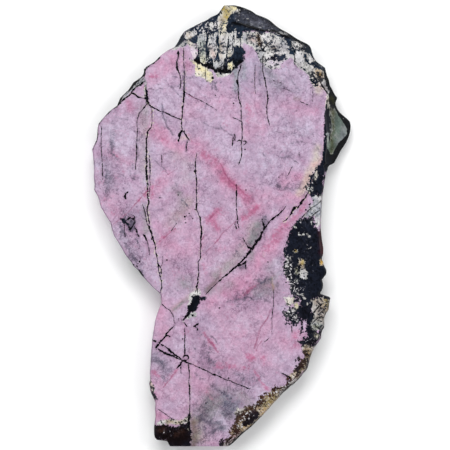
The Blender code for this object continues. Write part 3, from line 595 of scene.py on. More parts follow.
# Pale grains lying in the dark stone: (ragged by, then x, y of each corner)
grains = [
    (1.4, 224, 5, 235, 5.5, 238, 9, 229, 16, 227, 21, 227, 28, 225, 33, 221, 32, 218, 27, 217, 18, 221, 13),
    (1.4, 186, 32, 194, 31, 195, 35, 191, 38, 187, 40, 185, 37),
    (1.2, 209, 22, 213, 22, 214, 27, 213, 31, 210, 30),
    (3, 292, 41, 300, 42.4, 303, 46, 298, 48.6, 292, 47), (2.6, 282, 31.6, 287, 34, 286, 36, 281, 34),
    (2.6, 252, 33, 256, 33.4, 256, 35, 252, 34.6),
    (1.6, 199, 34, 205, 33, 207, 39, 205, 50, 207.5, 59, 206, 65, 200, 62, 197.5, 50, 198, 40),
    (1.6, 209, 35, 216, 33, 217, 44, 216.6, 55, 214, 60, 210, 55, 208.6, 45),
    (1.4, 218.5, 34, 227, 32, 228, 45, 226, 56, 221, 61, 218.6, 56),
    (1.2, 228.8, 34, 233, 32, 233.8, 52, 231, 56, 228, 58), (0.9, 234.6, 29, 237, 28, 236.8, 43, 235, 47),
    (1.8, 213, 61, 218, 63, 222, 62, 224, 65, 220, 67, 214, 67),
    (1, 228, 64, 232, 62, 234, 66, 231, 70, 228, 69), (1.2, 236, 8, 241, 10, 241, 13, 236, 12),
    (1, 246, 18.6, 248, 18.2, 249.8, 20.6, 248, 21.2, 246, 20.2),
    (0.8, 261.4, 23, 263, 23.2, 264.8, 26, 263.4, 26.6, 261.8, 25),
    (1, 258.4, 26.2, 261.4, 25.8, 262.2, 27.8, 259, 28),
    (0.8, 249.8, 23.4, 252.6, 23.2, 252.8, 26, 250.4, 26.2),
    (0.8, 277, 33, 280, 31, 284.4, 32.8, 284, 35.2, 279, 35),
    (1, 275, 32.8, 276.6, 33, 276.4, 34.8, 275, 34.6), (1.2, 236, 39, 241, 42, 242, 47, 239, 46),
    (1.4, 314, 70.6, 319, 70, 323, 71, 324, 77, 322, 80, 318, 80, 314.6, 76),
    (1.3, 297, 230.8, 298.4, 229.8, 300, 234.8, 298.4, 235.2),
    (2.6, 301.4, 233.8, 304.6, 232.6, 305, 233.8, 301.8, 234.8),
    (1.8, 306.4, 233.2, 307.4, 233, 307.4, 234, 306.6, 234.2),
    (1.2, 307, 249, 312, 246.6, 312, 248, 308, 249.6), (2, 293, 251, 298, 248.6, 297.4, 252, 295, 253),
    (2.6, 299, 259.6, 305, 260.6, 303.6, 264, 303, 268, 299, 267),
    (1.2, 300, 268, 304, 268, 307, 272, 307, 279, 301.6, 279, 299.4, 275),
    (2.6, 293, 268, 298, 266.6, 299, 273, 295, 275),
    (2.4, 287.6, 257.6, 290.6, 258, 290.4, 262, 288, 262.4),
    (2.4, 286.6, 266, 290, 266.6, 291, 270, 287, 270), (2.4, 286.6, 273, 290, 274, 289.6, 278, 287, 277.6),
    (2.4, 294, 280, 297, 279.6, 297, 282, 294.6, 282.6), (2, 290.6, 287, 293, 287, 293, 289, 291, 289),
    (1.6, 296.6, 292.6, 298.2, 292.6, 298.4, 295, 296.8, 295),
    (1.4, 301.4, 294, 303, 294, 303.6, 296.6, 302, 296),
    (1.2, 303.6, 297.4, 305.6, 297.4, 305.6, 299.4, 304, 299.4),
    (1.2, 299, 299.6, 300.6, 299.6, 300.6, 302, 299.2, 302),
    (1.2, 306.8, 303.4, 308.2, 303.4, 308.2, 305, 306.8, 305),
    (1.4, 314.6, 217.6, 318.6, 217, 321, 222, 318, 229, 316.4, 226),
    (2, 293.4, 225, 296, 225, 297, 228, 294.4, 228), (2, 310.6, 221, 312.6, 221, 312, 223.6),
    (2.4, 313, 334, 320, 333.6, 321, 338, 316, 340),
    (1.4, 320.4, 259, 323, 259.6, 324.6, 264, 320.4, 265.6, 319.6, 262),
    # the knob's green face, then two strips at 327 to 329 across that are painted highlights: glints on the
    # ledge below the polish
    (0.35, 334, 106, 337.5, 114, 347, 128, 347, 134, 343, 139, 339, 142, 336, 147, 333, 154, 330, 155,
     329, 150, 331, 140, 331.5, 125, 331, 112), (0.5, 327, 94, 328.6, 95, 329.6, 106, 328, 108),
    (0.5, 327, 133, 329, 134, 329.4, 146, 327.6, 150, 326.6, 142),
    (1.2, 315, 172, 318, 171, 317, 180, 314, 179), (2, 307, 187, 312, 187, 312, 190, 308, 190),
    (1.2, 294.4, 302.6, 297.8, 302.2, 298.2, 306, 297, 308.6, 294.6, 306.6),
    (2.2, 284, 310.4, 287, 310, 289, 314, 289, 319, 287, 318.4, 284.6, 315),
    (1.4, 291, 309.6, 294, 308.4, 296, 309.4, 294, 312.6, 291.4, 312.6),
    (1.8, 293, 316, 297.2, 314.8, 297, 319, 293.8, 319.6), (1.6, 312, 334, 316, 332, 317, 335),
    (1.4, 304, 345, 309, 343, 310, 346, 305, 348),
    (1, 172, 49, 178, 46, 185, 41, 190, 40, 190, 43, 180, 48, 172, 50.5),
    (1.6, 309, 235.6, 310, 236, 309.4, 237, 308.8, 236.8),
]

# Colours of the pale stone and grains, and of the dark stone: (colour, radius, strength, places)
paleClouds = [
    ("butter", 6, 0.85, 196, 68, 204, 72, 210, 78), ("cream", 4, 0.6, 198, 74, 208, 79),
    ("ochre", 4, 0.95, 223, 8, 227, 12, 226, 17), ("butter", 2.6, 0.8, 231, 8, 235, 8),
    ("tan", 4, 0.35, 221, 20, 224, 28), ("butter", 3, 0.6, 225, 24, 222, 32),
    ("butter", 3, 1, 230, 64, 231, 67), ("steel", 3, 0.6, 216, 64), ("butter", 3, 0.7, 190, 43, 193, 62),
    ("tan", 3, 0.6, 188, 35, 190, 37), ("green", 4, 0.55, 202, 42, 204, 60),
    ("butter", 3, 0.4, 203, 58, 204, 63), ("steel", 3, 0.6, 201, 35, 204, 38),
    ("pale", 4, 0.8, 192, 48, 193, 58), ("peach", 3, 0.7, 211, 48, 214, 56),
    ("white", 3, 0.5, 211, 40, 213, 44), ("sand", 3, 0.5, 223, 38, 224, 50),
    ("tan", 2, 0.4, 220, 40, 221, 58), ("steel", 3, 0.6, 231, 40, 231, 50),
    ("butter", 2, 0.4, 229, 52, 230, 56), ("taupe", 4, 0.8, 248, 36, 254, 40),
    ("steel", 3, 0.7, 251, 25, 260, 26, 263.4, 25), ("teal", 3, 0.62, 280, 33.6, 283, 34),
    ("peach", 2.4, 0.6, 251, 38, 254, 40), ("steel", 2, 0.7, 244, 36, 245, 40),
    ("brown", 2.4, 0.8, 258.5, 34, 259.5, 44), ("white", 4, 0.9, 266, 37, 271, 41),
    ("sand", 5, 0.6, 275, 47, 284, 48), ("brown", 1.8, 0.8, 273, 47, 275.5, 50),
    ("white", 2, 0.9, 275, 53, 287, 52.6), ("steel", 4, 0.6, 284, 41, 286, 46),
    ("pale", 5, 0.7, 272, 62, 286, 62), ("white", 3.5, 0.6, 299, 52, 299, 63),
    ("sand", 2.4, 0.7, 298, 60, 300, 66), ("white", 2.6, 0.8, 310, 60, 312, 63),
    ("steel", 3, 0.8, 324, 85, 327, 91), ("taupe", 2.4, 0.7, 306, 55, 307, 64),
    ("steel", 4, 0.6, 262, 52, 260, 58, 264, 64), ("steel", 3, 0.5, 292, 56, 303, 60),
    ("peach", 4, 0.7, 318, 86, 322, 90), ("tan", 4, 0.85, 318, 72, 321, 76),
    ("brown", 1.8, 0.8, 319.5, 74, 320, 76), ("steel", 8, 0.8, 312, 200, 318, 206, 318, 214, 308, 214),
    ("white", 2, 0.7, 317, 196, 319, 200), ("pink", 2.5, 0.6, 307, 206, 303, 214),
    ("taupe", 9, 0.6, 320, 302, 320, 312, 318, 322), ("brown", 9, 0.34, 320, 304, 320, 312),
    ("olive", 4, 0.35, 325, 304, 326, 308), ("peach", 2.4, 0.4, 317, 301, 319.6, 302),
    ("beige", 3, 0.6, 318, 304, 321, 314), ("tan", 6, 0.5, 316, 300, 322, 306, 322, 316),
    ("green", 5, 0.35, 313, 326, 318, 326), ("steel", 2.6, 0.7, 311.6, 322, 312, 325),
    ("tan", 3, 0.7, 326, 302, 327, 309), ("olive", 1.8, 0.6, 327, 301, 328, 306),
    ("ochre", 2, 0.5, 327, 304, 326, 298), ("olive", 2.4, 0.7, 312, 326, 317, 328),
    ("tan", 13, 0.9, 306, 358, 290, 384, 272, 398, 236, 434), ("brown", 3, 0.6, 300, 358, 304, 366),
    ("ochre", 3, 0.35, 276, 394, 266, 404), ("brown", 5, 0.6, 270, 397, 254, 406, 240, 418, 226, 440),
    ("cream", 2.4, 0.7, 296, 374, 291, 378), ("cream", 2.2, 0.6, 279, 392, 272, 396, 262, 405),
    # the mauve and the steel here colour the pale grey bevel along the lower right rim: partly its own grey,
    # partly painted light where the bevel is lit
    ("mauve", 3, 0.5, 238, 434, 228, 443), ("steel", 3, 0.7, 295, 380, 288, 388, 280, 394),
    ("tan", 4, 0.6, 308, 350, 310, 356), ("brown", 3, 0.5, 306, 352, 304, 356),
    ("tan", 4, 0.8, 301, 262, 302, 267), ("ochre", 1.6, 0.9, 303, 261, 302, 263.6),
    ("brown", 1.6, 0.7, 300, 264, 303, 266), ("olive", 3, 1, 295, 250, 296, 252),
    ("gold", 1.2, 0.6, 295.5, 250, 295.8, 251), ("gold", 2.4, 1, 321, 260, 322, 263),
    ("olive", 3.4, 1, 296, 269, 297, 273), ("steel", 3, 0.5, 303, 272, 304, 278),
    ("white", 2, 0.6, 304, 270, 303, 277), ("green", 3, 0.5, 296, 282, 298, 280),
    ("olive", 3, 0.9, 295, 300, 297, 303), ("white", 4, 0.5, 288, 262, 290, 270),
    ("white", 4, 0.9, 286, 312, 289, 318, 295, 318, 293, 310), ("butter", 2.4, 0.8, 296, 305, 297, 307),
    ("cream", 5, 0.7, 290, 300, 286, 306), ("green", 16, 1, 339, 122, 338, 136, 334, 150),
    ("teal", 4, 0.6, 333, 110, 334, 122), ("olive", 3, 0.8, 333, 101, 331, 153),
    # the cream at 327 to 328 across and the steel below it colour the painted highlights, glints on the
    # ledge below the polish
    ("steel", 3, 0.6, 344, 127, 343, 136, 338, 143), ("cream", 3, 0.9, 327, 98, 328, 108),
    ("steel", 3, 0.7, 328, 118, 328, 134), ("green", 3, 0.4, 329, 144, 328, 152),
    ("cream", 4, 0.8, 316, 172, 316, 180), ("tan", 4, 0.7, 180, 422, 170, 422),
    ("cream", 3, 0.6, 176, 421, 186, 420), ("white", 3, 0.5, 192, 298, 198, 291),
    ("taupe", 3, 0.8, 190, 315, 195, 316), ("peach", 3, 0.8, 151, 384, 153, 392),
    ("butter", 2.4, 0.6, 317, 336, 314, 334), ("brown", 2.4, 0.6, 306, 346, 308, 345),
    ("steel", 6, 0.9, 122, 98, 142, 80), ("taupe", 4, 0.9, 145.4, 84, 145, 92),
    ("mauve", 2, 0.5, 143, 77, 145, 79), ("taupe", 4, 0.8, 176, 48, 186, 42),
    ("white", 1.5, 0.9, 164, 335, 165, 335.4), ("white", 6, 0.6, 292, 54, 300, 58),
    ("steel", 4, 0.5, 214, 38, 212, 46), ("ochre", 4, 0.4, 272, 396, 264, 404),
    ("brown", 2.4, 0.6, 290, 380, 278, 390, 256, 405, 246, 410), ("taupe", 6, 0.4, 318, 304, 322, 314),
]
darkClouds = [
    ("teal", 30, 0.9, 190, 34, 220, 24, 250, 18, 272, 27, 300, 42),
    ("teal", 5, 0.7, 214, 60, 238, 52, 236, 60), ("slate", 7, 0.95, 238, 14, 262, 22, 272, 27),
    ("navy", 2, 0.8, 251.6, 20, 253, 21.6), ("teal", 3, 0.8, 279, 33, 286, 35),
    ("steel", 3, 0.25, 252, 23, 262, 25), ("navy", 2.4, 0.8, 292, 46, 304, 49),
    ("black", 2, 1, 233, 24, 244, 25, 252, 28, 262, 30, 275, 31),
    ("black", 2, 0.8, 284, 37, 291, 36, 300, 42), ("umber", 3, 0.7, 297, 43, 301, 45),
    ("black", 4, 0.9, 196, 61, 218, 70, 230, 70, 240, 62),
    ("black", 2.6, 0.8, 222, 6, 240, 6, 258, 15, 308, 45), ("brown", 1.6, 0.5, 259, 34, 260, 44),
    ("umber", 2.6, 0.8, 259, 34, 260, 45), ("umber", 4, 0.6, 270, 56, 276, 58),
    # the black cloud next on this line colours the ledge on the right; its inner side is partly painted
    # shade where the polish steps down
    ("slate", 4, 0.7, 280, 57, 285, 58), ("black", 9, 0.9, 326, 72, 336, 98, 350, 126, 336, 158),
    ("teal", 4, 0.8, 321, 68, 316, 65, 311, 66), ("umber", 6, 0.2, 308, 310, 302, 316),
    ("umber", 16, 1, 160, 432, 178, 436, 188, 428), ("bark", 2.4, 0.5, 158, 430, 164, 431),
    ("bark", 2.4, 0.45, 176, 434, 182, 432), ("bark", 9, 0.9, 290, 378, 250, 408, 238, 424, 230, 438),
    ("black", 5, 0.7, 186, 316, 196, 300), ("olive", 2.4, 0.7, 331, 99, 333, 102),
    ("umber", 4, 0.6, 316, 342, 308, 346),
    ("maroon", 2.8, 1, 321.5, 231, 323, 242, 322.6, 253, 325, 253, 325, 235),
    ("black", 4, 0.5, 310, 324, 312, 330), ("slate", 9, 0.6, 194, 32, 204, 26, 214, 24),
    ("black", 4.5, 0.9, 252, 417, 246, 423), ("bark", 5, 0.6, 304, 356, 302, 366),
    # the first black cloud on the next line runs along the upper left rim: partly the edge's black crust,
    # partly painted shade on the bevel
    ("black", 6, 1, 118, 102, 130, 86, 144, 71), ("blueGrey", 6, 0.25, 243, 16, 256, 20, 274, 28),
]

# Where small specks gather: (radius, strength, x, y, x, y and so on)
darkSpecks = [
    (5, 0.55, 247, 38, 252, 34, 258, 40, 262, 46), (4, 0.7, 272, 48, 276, 50), (5, 0.2, 286, 44, 304, 50),
    (3, 0.6, 307, 56, 308, 64), (4, 0.8, 312, 74, 314, 82), (4, 0.6, 257, 55, 264, 60),
    (4, 0.8, 318, 76, 320, 80), (6, 0.5, 290, 382, 276, 394), (6, 0.9, 306, 354, 298, 372),
    (7, 0.42, 322, 304, 320, 318), (6, 1, 287, 258, 290, 268, 288, 278, 293, 288),
    (6, 0.9, 286, 310, 294, 322), (5, 0.4, 176, 424, 188, 421, 166, 424), (4, 0.4, 310, 190, 304, 184),
    (9, 0.6, 124, 214, 142, 262), (4, 0.5, 143, 212, 150, 240),
    (6, 0.5, 220, 44, 230, 46, 202, 48, 211, 46), (3, 0.6, 218, 70, 224, 66), (6, 0.6, 196, 428, 200, 440),
    (3, 0.5, 147, 165, 147.6, 200), (2.4, 0.25, 124, 96, 140, 80), (3, 0.4, 225, 14, 222, 26),
    (3, 0.6, 207, 66, 212, 72), (3, 0.5, 151, 384, 153, 392), (3, 0.4, 280, 256, 281, 270),
    (8, 0.3, 272, 38, 284, 42), (6, 0.35, 268, 62, 280, 64), (4, 0.6, 316, 336),
    (4, 0.2, 291, 299, 289, 304), (3, 0.5, 228, 8, 232, 7),
    (6, 0.85, 262, 402, 248, 408, 238, 420, 228, 440),
]
paleSpecks = [
    (8, 0.5, 236, 14, 272, 28), (5, 0.35, 284, 36, 302, 44, 308, 48),
    (5, 0.9, 287, 258, 291, 268, 289, 280, 294, 290), (6, 0.6, 298, 284, 304, 288, 300, 292),
    (4, 0.95, 288, 310, 292, 316, 296, 320), (5, 0.5, 310, 186, 318, 176),
    (5, 0.6, 302, 222, 308, 221, 316, 222), (4, 0.6, 304, 344, 312, 336, 314, 342),
    (5, 0.6, 214, 64, 222, 66, 230, 60, 206, 60), (4, 0.5, 318, 66, 314, 78, 324, 84),
    (5, 0.4, 160, 430, 170, 432, 182, 428), (7, 0.2, 306, 240, 310, 270),
    (7, 0.95, 190, 34, 204, 28, 216, 25), (4, 0.4, 316, 300, 308, 304), (3, 0.6, 147.6, 160, 148.6, 200),
    (3, 0.4, 258, 38, 261, 44), (3, 0.5, 272, 57, 284, 58), (2.4, 0.5, 121, 100, 131, 90),
    (5, 0.5, 250, 414, 242, 424), (4, 0.7, 231, 30, 238, 36, 242, 46),
    (4, 0.7, 290, 382, 278, 391, 264, 399, 252, 408, 238, 424),
]

# Veins by the way they run, so that no two of one set come near each other:
# (half width, pale flecks beside it, places); a place may give its own half width
uprightVeins = [
    (0.4, 0, [(98.8, 122), (101.6, 127), (101, 139), (101.4, 152), (102.2, 164), (102.4, 172),
     (102.8, 180, 0.6)]),
    (0.5, 0.2, [(146.6, 104, 0.6), (144.4, 107.4, 0.6), (142, 110.4), (139.4, 113), (138, 117),
     (137, 122, 0.4), (137.4, 130, 0.35), (136.5, 145), (136.6, 152, 0.7), (136.4, 158, 0.4),
     (135.6, 163, 0.4), (135.3, 170, 0.8)]),
    (0.6, 1, [(146, 87, 0.3), (146, 90, 1.2), (146.8, 96, 1.3), (147.8, 102, 1.1), (149.5, 105.5, 0.4),
     (152, 109, 0.3), (152.1, 121, 0.3), (151.4, 127.5, 0.5), (148, 131, 0.8), (147.3, 135, 0.9),
     (146.4, 142), (146.6, 160, 0.9), (146.3, 171, 1), (147.2, 180, 0.8), (147.6, 190, 0.9), (147.8, 195),
     (148.8, 203, 0.8), (147.2, 210), (149.2, 222), (148.8, 226), (150, 230, 0.9), (151.6, 233, 0.9),
     (152.6, 236.5, 0.9), (153.4, 240), (154.5, 243, 0.8), (155.6, 247), (155.4, 250), (157.4, 259),
     (159, 272), (161.5, 282), (161.6, 288), (160.4, 293)]),
    (0.5, 0.6, [(183.7, 47, 0.3), (183.7, 57), (183.6, 62, 0.4), (184.2, 70, 0.4), (184.4, 78, 0.4),
     (184, 86), (183.7, 90, 0.9), (184.2, 92, 1.1), (183.3, 98, 1), (183.8, 103, 0.8), (182.4, 107, 0.8),
     (182.4, 113, 0.6), (181.6, 120), (181.4, 126, 0.55), (182.2, 130, 0.8)]),
    (0.5, 0.5, [(197, 153, 0.3), (195.2, 163), (195.3, 169, 0.8), (195.2, 171, 1.3), (196.3, 176),
     (196.6, 183), (196.4, 190.5, 0.6), (196.5, 198), (196.5, 204, 0.9), (196.4, 209), (197.8, 212, 0.4),
     (199, 215.5), (199.9, 218, 0.8), (200.4, 222), (201, 227, 0.7), (201.6, 231, 1), (201.7, 234, 1.1),
     (200.6, 241), (201, 245, 0.6), (200.6, 250, 0.4), (200.7, 253), (200.2, 259, 0.35), (198, 262, 0.35),
     (198.3, 268), (198.6, 272, 0.4), (198.3, 276), (197.6, 279, 0.8), (197.8, 282, 0.7), (197, 285.5, 1.2),
     (197.3, 290, 0.7), (197.5, 294, 0.4)]),
    (0.5, 0.2, [(241.2, 64, 0.6), (239.6, 70, 0.8), (238, 74), (237.6, 79), (237, 82, 1.1),
     (238.3, 85, 0.6), (238.6, 98), (239.5, 101, 0.7), (240.4, 104, 0.6), (241.1, 108), (241.3, 120, 0.7),
     (241.6, 122), (242, 128, 0.4), (242.3, 135, 0.45), (241.2, 144), (242, 150), (241.4, 157),
     (239.5, 162), (238.4, 165.5, 0.3)]),
    (0.5, 0.2, [(262.7, 55), (262.7, 71), (264.6, 78, 0.6), (267, 90), (267.8, 97), (268, 99.5, 1),
     (267, 104), (266.7, 109), (266.8, 114, 0.4), (267.6, 118, 0.4), (268.6, 121), (269.6, 126, 0.3)]),
    (0.8, 0.2, [(236.4, 184), (236.6, 188, 0.6), (236.8, 191), (236.3, 199, 0.5), (236.5, 207, 0.4),
     (237.5, 220, 0.7)]), (0.26, 0, [(312.8, 86), (312.8, 102)]),
    (0.3, 0, [(273.6, 289), (273.6, 302, 0.5), (272.6, 310, 0.4), (272, 320, 0.25), (271.8, 335, 0.15)]),
    (0.6, 0, [(184.6, 328, 0.35), (184.6, 335), (184.6, 345), (185, 352, 0.8), (184.6, 355, 0.9)]),
    (0.6, 0.3, [(188.4, 364, 0.4), (189.4, 372), (189.4, 378, 0.35), (188.4, 381, 0.35), (189.4, 385, 0.7),
     (189.7, 391), (189.7, 400, 0.45), (189.7, 411, 0.45), (189.3, 417, 0.8), (189.3, 430, 0.9)]),
    (0.35, 0, [(291.5, 322), (291.8, 333)]), (0.4, 0, [(161.8, 154), (161.8, 166)]),
    (0.35, 0, [(205.6, 62), (205.5, 80)]), (0.3, 0.2, [(255.1, 65), (254.8, 76), (254.9, 84), (255.6, 94)]),
    (0.3, 0, [(302.6, 320), (300.4, 334)]), (0.45, 0, [(294.3, 50), (294.6, 58), (295.2, 66, 0.3)]),
]
fallingVeins = [
    (1.1, 0.5, [(131.6, 92.4), (135.5, 95, 0.9), (138.5, 97), (143, 98.2, 0.6), (147.5, 99, 0.9)]),
    (0.6, 0, [(148.5, 104.5), (151, 106.3, 0.8), (155, 108.4), (158, 110), (161, 111.5, 0.8),
     (164, 111.9, 0.7), (169, 114.5), (173, 116.3, 0.7), (178, 118.4), (181.3, 120, 0.4)]),
    (0.35, 0, [(184.5, 92), (190, 95), (195, 98), (200, 100), (207, 104.4, 0.5), (209.5, 105.6, 0.3),
     (213, 107.6, 0.4), (217, 110.3, 0.2)]),
    (0.5, 0, [(232.5, 117), (236, 119), (238.5, 120, 0.6), (241, 121.6)]),
    (0.6, 0.1, [(155.6, 349.2, 0.5), (158, 348.9), (160.5, 350.5, 0.9), (163.5, 352.5, 1.1),
     (168, 354.5, 1.3), (172, 355.7, 1), (175, 357.3, 0.7), (180, 359.2, 0.7), (184, 361, 0.9),
     (188, 362.8), (191, 363.8), (197, 366.5, 0.45), (203, 369.3), (208, 371.3, 0.45), (213, 374.3, 0.8),
     (219, 376.5, 0.5), (225, 379.3, 0.7), (229, 380.5, 0.5), (237, 384), (241, 385.2, 0.5), (247, 388),
     (250, 388.8, 0.4)]),
    (0.5, 0, [(161.4, 303.5, 0.3), (165, 307, 0.4), (170, 310.5), (172.6, 314.4), (173.7, 318),
     (173.8, 321), (175.2, 324.8)]),
    (0.3, 0, [(280, 372), (285, 375, 0.4), (288.5, 376.6, 0.8), (291, 377.6, 0.6)]),
    (0.4, 0, [(300, 101.5), (304, 103.3, 0.5), (308.7, 104.8)]),
    (0.25, 0, [(157.9, 409), (166, 414.5), (173.6, 420)]), (0.25, 0, [(273, 80.6), (282, 83.2)]),
    # the second vein on this line runs to the ledge below the polish: partly a crack, partly painted shade
    # where the polish steps down
    (0.25, 0, [(283, 88), (294, 93)]), (0.8, 0, [(318.6, 80.4), (323, 86.5), (328.6, 94.5, 1)]),
    (0.6, 0, [(308.6, 205.4), (310.8, 203.2)]), (0.5, 0, [(317.2, 197.4), (318.8, 194, 0.8)]),
    (0.9, 0, [(234, 24), (241, 24.4), (246, 25.2, 1.2), (251, 27), (256, 28.6, 1.3), (261, 30.4, 1),
     (265, 31.2), (270, 30.6, 1.2), (276, 30.8), (280, 34.4, 0.7), (286, 36.4, 1), (292, 37.4, 0.7),
     (298, 41), (303, 45, 0.6)]),
]
risingVeins = [
    (0.5, 0, [(286, 206, 0.3), (283, 210), (280, 213, 0.8), (277, 215.5, 0.9), (272, 219.5, 0.8),
     (270, 221.5), (267, 225, 0.6), (264, 229, 1), (261.5, 234, 1.1), (259, 239, 1.5), (256.5, 242, 1.8),
     (254, 246.5, 1.7), (251.6, 249.2, 2.1), (249, 252.6, 1.5), (242, 261, 0.9), (238.5, 264.5, 0.8),
     (235.5, 267, 1.3), (232.5, 269.5, 1.1), (229, 273, 0.7), (226, 275, 0.8), (222.5, 278, 1),
     (219.5, 281), (211, 288.5, 0.4), (205.5, 295, 0.35)]),
    (1.1, 1, [(308.4, 192, 0.7), (306.4, 195.4), (304.7, 198.3, 1), (302.4, 201, 1.3), (300, 204.3, 1.6),
     (298.6, 206.4), (297.2, 208.8, 0.4)]),
    (0.5, 0.2, [(175.2, 324.8), (171, 329, 0.6), (169, 331, 0.9), (167, 333, 0.9), (165.5, 335.6, 1.2),
     (163, 339.3, 1.1), (159, 344, 1.1), (156.5, 347, 1.3), (155.4, 348.4, 0.6)]),
    (1.1, 0, [(182.6, 360.6), (180.5, 364), (176.5, 368.8, 0.5)]),
    (0.35, 0, [(170.8, 231.4), (177, 222.8)]),
    (1.1, 0.2, [(131, 94), (131.8, 91.6, 1.2), (133, 89.4, 0.9), (136, 87.4, 0.5), (142, 83.2, 1),
     (144.4, 81.6, 0.4)]), (0.4, 0, [(292.5, 166.5), (287.5, 176)]), (0.35, 0, [(269, 338.6), (264, 342)]),
    (0.4, 0, [(258, 49.4, 0.3), (262.6, 50.6, 0.9), (266, 45.6, 0.5), (269, 42.6), (274, 39.4)]),
]
branchVeins = [
    (0.7, 0.3, [(119, 103.6, 1), (127, 96.6), (131, 94)]),
    (0.4, 0, [(262, 217.6), (262.4, 221.5, 0.7), (263.8, 226, 1), (264.2, 229, 0.6)]),
    (0.4, 0, [(242.5, 237), (244, 241, 0.5), (246, 244, 0.6), (248, 246.5, 0.9), (251, 248.8, 1.1)]),
    (0.9, 0, [(236, 267, 0.8), (240, 265), (244, 263.6), (245.4, 261.8), (246.2, 270.3, 0.4)]),
    (0.4, 0, [(255.2, 239.4), (255.8, 243, 0.9)]),
    (0.5, 1, [(296.8, 206.2), (295.4, 207, 0.9), (294.2, 208, 1.5), (293, 210, 1.1), (291.6, 212.4, 1),
     (290, 215.2, 0.7), (288.7, 217), (286, 220, 0.4), (283, 222, 0.35)]),
    (0.6, 0.2, [(178.5, 50, 0.5), (178.4, 54, 1.1), (178.2, 58, 0.4), (176.9, 62.5), (176.9, 65, 0.8),
     (177.4, 68, 1.1), (178.4, 71), (180, 75, 0.5), (180.7, 80), (180.6, 86), (179.6, 89.6, 0.4)]),
    (0.45, 0.6, [(149.4, 155), (149.9, 170, 0.6), (149.9, 186), (148.8, 199, 0.3)]),
    (0.45, 0, [(142.5, 203), (143, 206, 0.5), (144, 209, 0.6), (145.5, 216, 0.35), (147, 223),
     (149.8, 230)]),
    (0.5, 0, [(143, 234.5, 0.9), (144.6, 236, 1), (145.8, 238.5, 0.7), (147, 242), (148.6, 246),
     (149.2, 250, 0.35), (149.4, 256, 0.2)]),
    (0.7, 0, [(134.5, 226, 0.5), (136, 229), (137.5, 233), (139, 237.4, 0.35)]),
    (0.45, 0, [(124.5, 225), (124.5, 232), (125.3, 237)]),
    (0.35, 0, [(162.6, 256), (162.8, 262), (161.5, 266.5)]),
    (0.9, 0.4, [(183.6, 130.4, 0.8), (186.6, 136.4), (188.6, 139.2, 0.5), (189.4, 141, 0.3)]),
    (0.5, 0, [(233, 136.5), (232.6, 141), (232.4, 146.5)]),
    (0.5, 0, [(237, 141.5), (239, 140.3, 0.7), (242.5, 141), (246.3, 141.4, 0.6), (246, 143.4),
     (243.4, 145.5, 0.4)]), (0.6, 0, [(166, 336.3), (168, 335.5), (170.6, 337, 0.9)]),
    (0.6, 0.1, [(151.6, 338.8), (153.6, 340.8, 0.9), (156.5, 342, 0.8), (159, 342.6), (161.5, 344.6),
     (168.3, 348.3, 0.7), (170, 350.5, 1.1), (172.5, 353, 1.1), (176, 355.5, 0.7), (180, 358, 0.8),
     (182.4, 359.8, 1)]), (0.5, 0, [(180.7, 366), (180.7, 371, 0.45), (181.3, 373.6, 0.6)]),
    (0.45, 0, [(320.5, 209.6), (315.3, 212.7), (311.6, 216.4)]),
    (0.45, 0.3, [(316, 301), (319, 304), (320.6, 309)]),
    (0.35, 0.2, [(322, 310), (324, 315), (321.6, 322)]), (0.5, 0, [(194, 209.3), (197, 209.6)]),
    (0.4, 0, [(193.6, 171.3), (197.4, 171.3)]), (0.5, 0, [(237.6, 220.5), (238, 224), (239, 228.4)]),
    (0.3, 0, [(299, 152), (300, 160)]),
]
